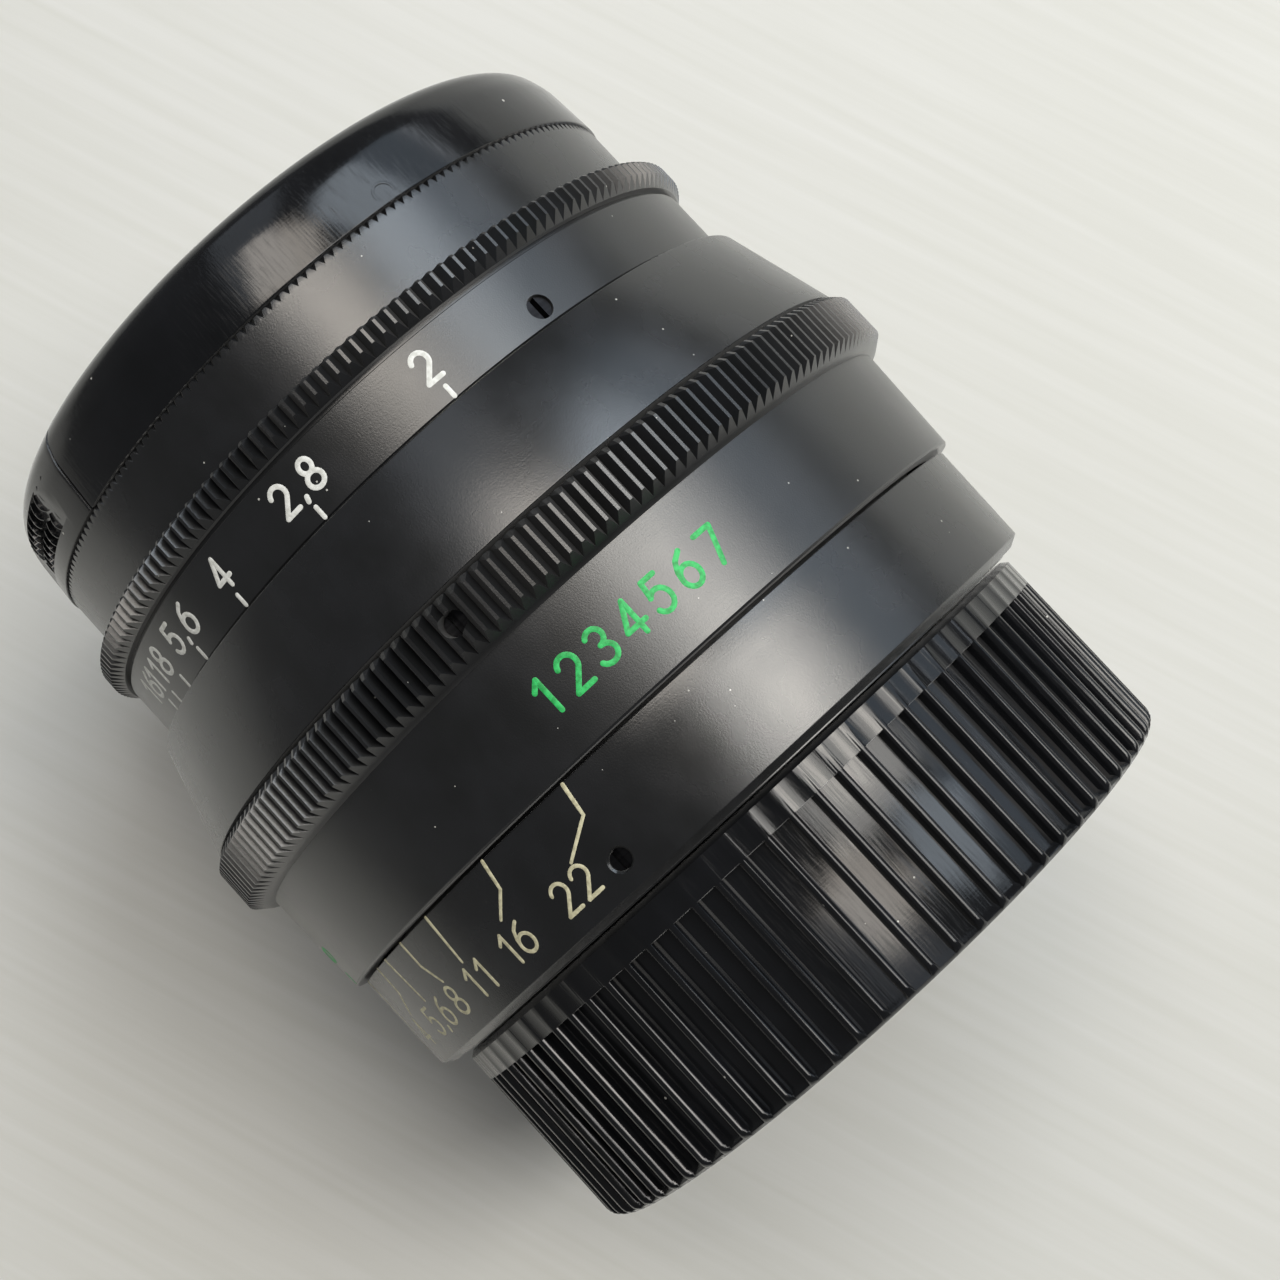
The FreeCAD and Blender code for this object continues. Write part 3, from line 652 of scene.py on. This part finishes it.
# %% Mount flange and thread
front, rear, flange_r = span("mount_tail")
flange = turned("mount_flange_skin", [
    (front, 18.0), (front, flange_r), (0.0, flange_r), (0.0, 20.2), (rear, 20.0, 0.3), (rear, 18.0)],
    barrel_black)
pockets = bmesh.new()
for k in (1, 2):
    low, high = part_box("key_screw_%d" % k)
    middle, head_r = (low + high) / 2, (high.y - low.y) / 2 / MM + 0.03
    round_bar(pockets, Vector((high.x - 0.85 * MM, middle.y, middle.z)),
              Vector((high.x + 1.0 * MM, middle.y, middle.z)), head_r, head_r)
combined(flange, pockets, "DIFFERENCE", 25.0)
mount_thread = thread("mount_thread_turns", 0.3, rear - 0.1, 21.0, 0.6, 1.0, 0.9, bare_aluminium)
for piece, stock in ((flange, "black_anodised"), (mount_thread, "bright_aluminium")):
    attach(piece, "base")
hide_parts("mount_tail")
print("mount thread from 0.3 to %.2f mm" % (rear - 0.1))

# %% [markdown]
# ## The rear cap
#
# The rear cap has a collar, then 81 rounded ribs with a wide valley floor between. The ribs
# carry on over the collar as faint facets, because the mould was cut in one go. At the rear
# the valleys end at a low rim, and the edge is rounded.

# %% Rear cap
front, rear, rib_r = span("rear_cap")
floor_r, collar, ribs = rib_r - 0.75, front + 2.3, 81
tail_in = [(rear, 0.0), (rear - 1.8, 0.0), (rear - 1.8, 19.4), (5.7, 19.4), (5.7, 21.06), (front, 21.06)]
rear_strip = toothed_strip(
    "rear_cap_pitch",
    [(front, rib_r - 0.45), (front + 0.35, rib_r - 0.03), (collar, rib_r - 0.03), (collar + 0.06, floor_r),
     (rear - 0.75, floor_r), (rear - 0.5, rib_r - 0.46), (rear - 0.28, rib_r - 0.36),
     (rear - 0.08, rib_r - 0.55), (rear, rib_r - 0.9)] + tail_in,
    [(front, rib_r - 0.45), (front + 0.35, rib_r), (collar, rib_r), (collar + 0.06, rib_r),
     (rear - 0.9, rib_r), (rear - 0.55, rib_r - 0.06), (rear - 0.28, rib_r - 0.26),
     (rear - 0.08, rib_r - 0.52), (rear, rib_r - 0.9)] + tail_in,
    ribs, [(0.035, 1.0), (0.085, 0.93), (0.13, 0.74), (0.165, 0.42), (0.185, 0.0)])
rear_cap_skin = spun("rear_cap_skin", rear_strip, ribs, rear_cap_plastic, sharp=50.0)
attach(rear_cap_skin, "rear_cap")
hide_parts("rear_cap")
print("rear cap: radius %.2f mm, %d ribs" % (rib_r, ribs))

# %% [markdown]
# ## The front cap
#
# A pinch cap: a shallow shell, and two buttons that slide inwards and pull hooks out of the
# filter thread. Each button has a framed window in its rim with two rows of curved grip ridges.
# The slot beside a button's lip is a little deeper than the button's 1.8 mm stroke. The outer
# face lies 0.35 mm behind the front of the CAD shell.

# %% Front cap shell


def block(bm, x0, x1, r0, r1, width, angle):
    """Box that lies along a radius: x0 to x1 along the axis, r0 to r1 outwards."""
    made = bmesh.ops.create_cube(bm, size=1.0)
    size = Matrix.Diagonal(((x1 - x0) * MM, width * MM, (r1 - r0) * MM, 1.0))
    place = Matrix.Rotation(math.radians(angle), 4, "X") @ Matrix.Translation(
        ((x0 + x1) / 2 * MM, 0, (r0 + r1) / 2 * MM))
    bmesh.ops.transform(bm, matrix=place @ size, verts=made["verts"])


def carved(piece, x0, x1, r0, r1, width, angle, round_mm=0.0):
    """Cut such a box out of the piece, with its four corners along the radius rounded."""
    bm = bmesh.new()
    block(bm, x0, x1, r0, r1, width, angle)
    if round_mm:
        way = on_lens(0, 1, angle).normalized()
        tall = [e for e in bm.edges if abs((e.verts[1].co - e.verts[0].co).normalized().dot(way)) > 0.9]
        bmesh.ops.bevel(bm, geom=tall, offset=round_mm * MM, segments=5, affect="EDGES", profile=0.5)
    combined(piece, bm, "DIFFERENCE")


def rim(lip=0.0):
    """The rounded front rim that the shell and its buttons share; a lip stands back a little."""
    return [(face + lip, cap_r - 2.6, 0.3), (face + lip + 0.34, cap_r - 1.45, 0.5),
            (face + 1.1, cap_r - 0.75, 0.6), (face + 2.6, cap_r - 0.28, 0.6)]


BUTTONS = (65.0, 245.0)
BUTTON_WIDE, OPENING_WIDE = 18.2, 18.8
RIDGES, RIDGE_STEP = 12, 2.8
front, rear, cap_r = span("cap_shell")
face = front + 0.35
cap = turned("cap_shell_skin", [(face, 0.0)] + rim() + [
    (rear, cap_r, 0.12), (rear, cap_r - 1.5, 0.02), (rear - 1.3, cap_r - 1.5, 0.02),
    (rear - 1.3, cap_r - 1.7, 0.02), (front + 1.6, cap_r - 2.0, 0.02), (front + 1.6, 0.0)],
    front_cap_plastic, 0.1, sharp=40.0)
for a in BUTTONS:
    carved(cap, front + 1.55, rear + 1.0, cap_r - 7.0, cap_r + 2.0, OPENING_WIDE, a)
    carved(cap, front - 1.0, front + 1.6, cap_r - 7.75, cap_r + 2.0, OPENING_WIDE, a)
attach(cap, "front_cap")
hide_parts("cap_shell")
print("cap shell: radius %.2f mm" % cap_r)

# %% Cap buttons


def soften(piece, width_mm):
    """Round the edges that meet at more than 60 degrees."""
    step = piece.modifiers.new("Soften", "BEVEL")
    step.width, step.segments = width_mm * MM, 3
    step.limit_method, step.angle_limit = "ANGLE", math.radians(60)
    applied(piece)


def bowed_ridge(name, x0, x1, r0, r1, thick, bow):
    """Small curved fin along the axis, bowed sideways, at angle 0."""
    bm, rows, n = bmesh.new(), [], 9
    for i in range(n):
        t = i / (n - 1)
        side = bow * (1 - (2 * t - 1) ** 2)
        x, deg = x0 + (x1 - x0) * t, math.degrees(1 / r1)
        rows.append([bm.verts.new(on_lens(x, r, (side + w) * deg))
                     for r, w in ((r0, -thick), (r1, -thick * 0.3), (r1, thick * 0.3), (r0, thick))])
    join_loops(bm, rows)
    bm.faces.new(rows[0])
    bm.faces.new(list(reversed(rows[-1])))
    return mesh_from(bm, name, False)


def cap_button(number, angle):
    """Button skin with its hook bar, spring pocket, window and two rows of ridges."""
    low, high = front + 1.75, rear - 0.05
    window_front, window_rear = low + 0.45, high - 1.35
    skin = turned("cap_button_skin_%d" % number, [(face + 0.03, cap_r - 6.5, 0.02)] + rim(0.03) + [
        (high, cap_r - 0.03, 0.12), (high, cap_r - 2.2, 0.02), (low, cap_r - 2.2, 0.02),
        (low, cap_r - 6.5, 0.02)], front_cap_plastic, sharp=40.0)
    keep = bmesh.new()
    block(keep, front - 1, high + 1, cap_r - 5.7, cap_r + 2, BUTTON_WIDE, angle)
    combined(skin, keep, "INTERSECT")
    soften(skin, 0.22)
    carved(skin, window_front, window_rear, cap_r - 0.95, cap_r + 1, 15.6, angle, 0.9)
    slide = (low, rear - 1.6, 15.5, cap_r - 1.9, 12.0)
    arm = (rear - 2.1, rear + 2.4, 21.1, 22.6, 10.0)
    hook = (rear + 1.2, rear + 2.2, 22.3, 23.6, 8.0)
    for size in (slide, arm, hook):
        inner = bmesh.new()
        block(inner, *size, angle)
        combined(skin, inner, "UNION")
    drilled(skin, [((low + rear - 1.6) / 2, angle, 1.75, 14.5, 21.5)])
    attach(skin, "cap_button_%d" % number)
    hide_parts("cap_button_%d" % number)
    middle = (window_front + window_rear) / 2
    rows = ((window_front + 0.15, middle - 0.12), (middle + 0.12, window_rear - 0.15))
    for row, (x0, x1) in enumerate(rows):
        fin = bowed_ridge("ridge", x0, x1, cap_r - 1.05, cap_r - 0.42, 0.15, 0.55)
        ridges = spun("cap_ridges_%d_%d" % (number, row + 1), fin, RIDGES, front_cap_plastic,
                      start=angle - (RIDGES - 1) / 2 * RIDGE_STEP, step=RIDGE_STEP)
        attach(ridges, "cap_button_%d" % number)


for number, a in enumerate(BUTTONS):
    cap_button(number + 1, a)
mark = turned("cap_mould_mark", [(-0.05, 0.62), (-0.05, 0.8), (0.05, 0.78), (0.05, 0.64)],
              front_cap_plastic, 0.01, 40)
mark.data.transform(Matrix.Translation(on_lens(front + 6.2, cap_r - 0.09, -22.5)) @
                    Matrix.Rotation(math.radians(-22.5), 4, "X") @ Matrix.Rotation(math.radians(90), 4, "Y"))
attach(mark, "front_cap")
print("two buttons at", BUTTONS)

# %% [markdown]
# ## Figures and lines
#
# The figures are engraved with a round cutter and filled with enamel, so each is a stroke of
# even width with round ends. A glyph is a few strokes in a box one unit high. A stroke becomes
# a thin domed ribbon laid on the ring, 0.02 mm proud, which catches light as thick paint does.

# %% Stroke figures


def arc(cx, cy, rx, ry, start, end, n=14):
    """Points along part of an ellipse, from one angle to another in degrees."""
    steps = [math.radians(start + (end - start) * i / n) for i in range(n + 1)]
    return [(cx + rx * math.cos(t), cy + ry * math.sin(t)) for t in steps]


FIGURES = {
    "0": [arc(.3, .5, .27, .5, 90, 450, 22)],
    "1": [[(.12, .76), (.36, 1)], [(.36, 1), (.36, 0)]],
    "2": [arc(.3, .71, .27, .29, 165, -38) + [(.04, .0)], [(.04, 0), (.58, 0)]],
    "3": [arc(.28, .76, .24, .24, 150, -90), arc(.28, .26, .28, .26, 90, -155)],
    "4": [[(.43, 0), (.43, 1)], [(.43, 1), (.02, .27)], [(.02, .27), (.62, .27)]],
    "5": [[(.54, 1), (.13, 1)], [(.13, 1), (.08, .56)], arc(.28, .33, .28, .33, 140, -152)],
    "6": [arc(.3, .31, .27, .31, 0, 360, 20), [(.03, .33), (.07, .58), (.2, .83), (.45, 1)]],
    "7": [[(.03, 1), (.57, 1)], [(.57, 1), (.2, 0)]],
    "8": [arc(.3, .76, .21, .24, 0, 360, 18), arc(.3, .26, .27, .26, 0, 360, 20)],
    "9": [arc(.3, .69, .27, .31, 0, 360, 20), [(.57, .67), (.53, .42), (.4, .17), (.15, 0)]],
    ",": [[(.1, .08), (.05, -.07)]],
    "8~": [arc(.24, .35, .24, .24, 0, 360, 18), arc(.76, .35, .28, .28, 180, -180, 20)],
}
WIDTH = {",": .14, "8~": 1.05, "1": .46}


def ribbon(bm, points, width, lift, place):
    """Domed ribbon with round ends along (u, v) points; place maps (u, v, h) to the lens."""
    section = ((-1, -0.06), (-1, 0.0), (-0.6, lift * 0.8), (0, lift), (0.6, lift * 0.8), (1, 0.0), (1, -0.06))
    rows, half, n = [], width / 2, len(points)
    for i, here in enumerate(points):
        a, b = Vector(points[max(i - 1, 0)]), Vector(points[min(i + 1, n - 1)])
        way = (b - a).normalized()
        across, here = Vector((-way.y, way.x)), Vector(here)
        if i == 0:
            rows += [(here - way * half * t, across, (1 - t * t) ** 0.5) for t in (0.98, 0.8, 0.45)]
        rows.append((here, across, 1.0))
        if i == n - 1:
            rows += [(here + way * half * t, across, (1 - t * t) ** 0.5) for t in (0.45, 0.8, 0.98)]
    rings = []
    for centre, across, s in rows:
        ring = []
        for w, h in section:
            p = centre + across * half * s * w
            ring.append(bm.verts.new(place(p.x, p.y, h if h < 0 else h * s)))
        rings.append(ring)
    join_loops(bm, rings)
    bm.faces.new(rings[0])
    bm.faces.new(list(reversed(rings[-1])))


def radius_along(profile, x):
    """Radius of a ring at x from its (x, r) corner points."""
    for (xa, ra), (xb, rb) in zip(profile, profile[1:]):
        if xa <= x <= xb:
            return ra + (rb - ra) * (x - xa) / (xb - xa)
    return profile[0][1] if x < profile[0][0] else profile[-1][1]


def finer(points, step):
    """The same path with points no more than about two steps apart."""
    out = [Vector(points[0])]
    for a, b in zip(points, points[1:]):
        a, b = Vector(a), Vector(b)
        cuts = max(1, int((b - a).length / step))
        out += [a.lerp(b, (k + 1) / cuts) for k in range(cuts)]
    return out


def lettering(name, profile, marks, lines, height, stroke, material, body):
    """marks are (text, x of the middle, angle of the middle); lines are lists of (x, angle)."""
    bm = bmesh.new()
    for text, x, angle in marks:
        glyphs = ["8~"] if text == "inf" else list(text)
        total = sum(WIDTH.get(g, .6) for g in glyphs) + .24 * (len(glyphs) - 1)
        pen = -total / 2
        for g in glyphs:
            for stroke_points in FIGURES[g]:
                def place(u, v, h, x=x, angle=angle):
                    px = x - v
                    r = radius_along(profile, px)
                    return on_lens(px, r + h, angle - math.degrees(u / r))
                flat = [((pen + u) * height, (v - .5) * height) for u, v in stroke_points]
                ribbon(bm, finer(flat, 0.3), stroke, 0.022, place)
            pen += WIDTH.get(g, .6) + .24
    for line in lines:
        def place_line(u, v, h):
            r = radius_along(profile, u)
            return on_lens(u, r + h, math.degrees(v / profile[0][1]))
        flat = [(x, math.radians(a) * profile[0][1]) for x, a in line]
        ribbon(bm, finer(flat, 0.4), stroke, 0.022, place_line)
    mesh = mesh_from(bm, name)
    piece = finish_mesh(name, mesh, material, 50.0)
    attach(piece, body)
    print(name, "has", len(mesh.polygons), "faces")
    return piece


# %% [markdown]
# ## Aperture figures
#
# On the closed ring the stops crowd together, because the blades must swing further for each
# stop near wide open. The ring rests past 16, so the index on the cone stands clear of them.

# %% Aperture figures and index
band_front, band_rear, knurl_radius = span("aperture_ring")
figure_band = [(band_front, knurl_radius - 0.9), (band_rear, knurl_radius - 0.9)]
stops = [("2", -8.9), ("2,8", 14.5), ("4", 32.1), ("5,6", 45.0), ("8", 54.1)]
small_stops = [("11", 59.0), ("16", 63.9)]
tick_angles = (-9.25, 14.4, 32.15, 44.8, 52.8, 58.3, 61.5)
lettering("aperture_figures", figure_band, [(text, band_rear - 2.8, a) for text, a in stops],
          [], 2.1, 0.35, white_enamel, "aperture_ring")
lettering("aperture_figures_small", figure_band, [(text, band_rear - 2.7, a) for text, a in small_stops],
          [], 2.0, 0.32, white_enamel, "aperture_ring")
lettering("aperture_ticks", figure_band, [],
          [[(band_rear - 1.05, a), (band_rear - 0.2, a)] for a in tick_angles],
          1.0, 0.32, white_enamel, "aperture_ring")
cone_front, _, cone_r = span("index_sleeve")
cone_face = [(cone_front, cone_r - 2.25), (cone_rear, cone_r)]
lettering("aperture_index", cone_face, [], [[(cone_front + 0.3, 75.0), (cone_front + 2.6, 75.0)]],
          1.0, 0.5, white_enamel, "lens_head")

# %% [markdown]
# ## Depth-of-field lines
#
# Each stop has two lines, one on each side of the centre index. Near wide open the lines lie so
# close together that they bend outwards to make room for the figures.

# %% Depth-of-field ring figures
ring_front, ring_rear, ring_r = span("depth_scale_ring")
ring_face = [(ring_front, ring_r), (ring_rear - 0.91, ring_r - 0.15)]
INDEX = 74.7
near_side = [("22", 22.5, [(0.1, 14.16), (2.3, 14.83), (3.9, 20.28)]),
             ("16", 34.4, [(0.1, 29.5), (2.1, 30.36), (3.5, 33.62)]),
             ("11", 44.0, [(0.1, 43.39), (3.7, 44.08)]),
             ("8", 51.0, [(0.1, 51.77), (2.05, 51.88), (3.75, 50.38)]),
             ("5,6", 58.3, [(0.1, 58.68), (3.8, 58.08)])]
figures, lines = [], [[(ring_front + 0.1, INDEX), (ring_front + 4.6, INDEX)]]
for text, angle, path in near_side + [("4", 68.5, [(0.1, 63.3), (2.2, 63.6), (3.8, 66.8)])]:
    for side in (1, -1):
        figures.append((text, ring_rear - 3.0, INDEX + side * (angle - INDEX)))
        lines.append([(ring_front + x, INDEX + side * (a - INDEX)) for x, a in path])
lettering("depth_figures", ring_face, figures, [], 2.15, 0.34, cream_enamel, "base")
lettering("depth_lines", ring_face, [], lines, 1.0, 0.28, cream_enamel, "base")

# %% [markdown]
# ## Distances and the serial number
#
# The distance scale follows from the lens itself. With a focal length of 52 mm and 6 mm of
# travel over 200 degrees, each distance has one place only, so the cell works it out.

# %% Distance scale and serial number
grip_front, grip_rear, grip_r = span("focus_grip")
skirt_face = [(grip_front + 4.5, grip_r - 1.62), (grip_rear, grip_r - 1.9)]
FOCAL, TRAVEL, THROW = 52.0, 6.0, 200.0


def turn_for(distance_m):
    """Ring angle that focuses a distance from the film, by the thin-lens rule."""
    k = distance_m * 1000 / FOCAL - 2
    magnification = (k - math.sqrt(k * k - 4)) / 2
    return magnification * FOCAL / TRAVEL * THROW


distances = ["10", "5", "3", "2", "1,5", "1,2", "1", "0,8", "0,7", "0,6"]
marks = [(d, grip_rear - 3.2, INDEX + turn_for(float(d.replace(",", ".")))) for d in distances]
lettering("distance_figures", skirt_face, marks, [], 2.3, 0.3, white_enamel, "focus_ring")
lettering("distance_ticks", skirt_face, [],
          [[(grip_rear - 1.1, a), (grip_rear - 0.25, a)] for text, x, a in marks],
          1.0, 0.26, white_enamel, "focus_ring")
lettering("infinity_mark", skirt_face, [("inf", grip_rear - 3.2, INDEX + 0.3)],
          [[(grip_rear - 1.1, INDEX), (grip_rear - 0.25, INDEX)]], 2.3, 0.3, green_enamel, "focus_ring")
serial = [(digit, grip_front + 8.7, 8.16 - 4.58 * i) for i, digit in enumerate("1234567")]
lettering("serial_number", skirt_face, serial, [], 2.4, 0.36, green_enamel, "focus_ring")

# %% [markdown]
# ## Glass
#
# The front and rear elements are the ones that show when a cap is off. Each is a turned disc
# with true spherical faces, worked out from the sag at each radius.

# %% Front and rear elements


def sag(r, radius):
    """How far a spherical face falls back at r from its middle."""
    return math.copysign(abs(radius) - math.sqrt(radius * radius - r * r), radius)


def element(name, node, edge, first, second, middle_rear):
    """Glass disc of radius edge; first and second are its faces' radii, middle_rear the x
    where its axis leaves the rear face."""
    middle_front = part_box(node)[0].x / MM
    radii = [edge * i / 16 for i in range(17)]
    face_points = [(middle_front + sag(r, first), r, 0.0) for r in radii]
    back_points = [(middle_rear + sag(r, second), r, 0.0) for r in reversed(radii)]
    piece = turned(name, face_points + back_points, glass, 0.0, 128)
    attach(piece, "lens_head")
    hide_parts(node)
    print(name, "from x = %.2f mm" % middle_front)


element("front_glass", "front_element", 16.0, 38.0, 140.0, span("front_element")[0] + 3.7)
element("rear_glass", "rear_element", 12.5, 90.0, -45.0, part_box("rear_element")[1].x / MM)

# %% [markdown]
# ## Finishes for the parts inside
#
# The other CAD parts keep their exact shape and take the finish of their stock.

# %% Finishes for CAD parts
by_stock = {
    "brass": (brass, ["helicoid_sleeve", "thrust_ring", "iris_cam_ring"]),
    "screw_steel": (steel, ["scale_screw_", "grip_screw_", "drive_screw", "key_screw_", "stop_pin",
                            "detent_ball", "cap_spring_"]),
    "bright_aluminium": (bare_aluminium, ["guide_key_", "main_barrel"]),
    "blade_steel": (blade_steel, ["blade_"]),
    "coated_glass": (glass, ["second_element", "third_element", "fourth_element", "fifth_element"]),
    "cap_plastic": (front_cap_plastic, ["cap_back"]),
    "black_anodised": (inner_black, ["fixed_barrel", "front_cell", "front_retainer", "inner_retainer",
                                     "iris_plate", "rear_cell", "rear_retainer"])}
for stock, (finish, starts) in by_stock.items():
    names = [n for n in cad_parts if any(n.startswith(s) for s in starts)]
    for n in names:
        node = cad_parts[n]
        node.data.materials.clear()
        node.data.materials.append(finish)
        node.data.shade_smooth()
        node.data.set_sharp_from_angle(angle=math.radians(30))
    print(stock, len(names))

# %% [markdown]
# ## The table
#
# A pale painted board with faint brush streaks. The lens touches it at the knurl's crest, the
# widest ring.

# %% Table
table_paint, tree, shader = start_material("Table, pale painted board", "dcdcd6", 0.0, 0.5)
where = add(tree, "ShaderNodeTexCoord").outputs["Object"]
turned_way = add(tree, "ShaderNodeMapping", {"Vector": where}, vector_type="TEXTURE")
turned_way.inputs["Rotation"].default_value = (0, 0, math.radians(19))
turned_way.inputs["Scale"].default_value = (0.035, 0.0012, 1)
streak = add(tree, "ShaderNodeTexNoise", {"Vector": turned_way.outputs["Vector"]}, Scale=1.0, Detail=3.0)
patch = add(tree, "ShaderNodeTexNoise", {"Vector": where}, Scale=9.0, Detail=3.0)
both = blend(tree, streak.outputs["Fac"], patch.outputs["Fac"], 0.5)
paint_tone = ramp(tree, both, 0.38, 0.62, colour("d2d2cc"), colour("d9d9d5"))
tree.links.new(paint_tone, shader.inputs["Base Color"])
bump(tree, shader, streak.outputs["Fac"], 0.05, 0.2)
low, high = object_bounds()
bm = bmesh.new()
corners = [(-1, -1), (1, -1), (1, 1), (-1, 1)]
bm.faces.new([bm.verts.new((1.6 * x, 1.6 * y, low[2])) for x, y in corners])
table = finish_mesh("table", mesh_from(bm, "table", False), table_paint)
print("table top at z = %.2f mm" % (low[2] / MM))

# %% [markdown]
# ## Light
#
# A large window with several panes, up to the +Y side, gives the broad highlight and the soft
# shadow. Weaker, bluer sky below it tints the edge of that highlight. Straight above and on the
# -Y side the room is dark, which is why the barrel turns black just past the top.

# %% Lights and room


def area_light(name, tilt, lean, distance, wide, tall, radiance, tint):
    """Rectangular light; tilt is degrees from straight up towards +Y, lean towards +X."""
    light = bpy.data.lights.new(name, "AREA")
    light.shape, light.size, light.size_y = "RECTANGLE", wide, tall
    light.energy = radiance * math.pi * wide * tall
    light.color = colour(tint)[:3]
    lamp = bpy.data.objects.new(name, light)
    t, l = math.radians(tilt), math.radians(lean)
    place = Vector((math.sin(l), math.cos(l) * math.sin(t), math.cos(l) * math.cos(t))) * distance
    lamp.location, lamp.rotation_euler = place, place.to_track_quat("Z", "Y").to_euler()
    bpy.context.scene.collection.objects.link(lamp)


# name, tilt and lean of its middle, distance, width, height, radiance, tint
area_light("window", 31, 6, 1.1, 0.62, 0.76, 5.0, "fffdf8")
area_light("window_sun_patch", 30, 4, 1.05, 0.3, 0.24, 5.5, "fff8ec")
area_light("window_upper_left", 11, -21, 1.1, 0.42, 0.4, 5.6, "fff6ea")
area_light("window_lower_left", 42, -21, 1.1, 0.42, 0.42, 4.0, "e6f3ff")
area_light("sky", 63, -6, 1.1, 1.3, 0.4, 1.1, "cfe2f5")
area_light("sky_strip", 75.5, -12, 1.0, 0.8, 0.045, 3.0, "eef6ff")
area_light("room_in_front", 8, -43, 1.1, 0.4, 1.1, 0.8, "dfe9f5")
world = bpy.data.worlds.new("room")
world.use_nodes = True
world.node_tree.nodes["Background"].inputs["Color"].default_value = colour("f2f3f5")
world.node_tree.nodes["Background"].inputs["Strength"].default_value = 0.14
bpy.context.scene.world = world
bpy.context.scene.view_settings.view_transform = "Standard"
print("window, sky and room light set")

# %% [markdown]
# ## Camera
#
# The camera looks almost straight down and is turned so that the lens lies along a diagonal.

camera_data = bpy.data.cameras.new("camera")
camera_data.lens, camera_data.sensor_width, camera_data.clip_start = 58.59, 36.0, 0.005
camera_data.dof.use_dof = False
camera = bpy.data.objects.new("camera", camera_data)
camera.location = (-0.0020586, 0.0, 0.1534644)
camera.rotation_euler = [math.radians(d) for d in (3.909, 2.089, 47.357)]
bpy.context.scene.collection.objects.link(camera)
bpy.context.scene.camera = camera
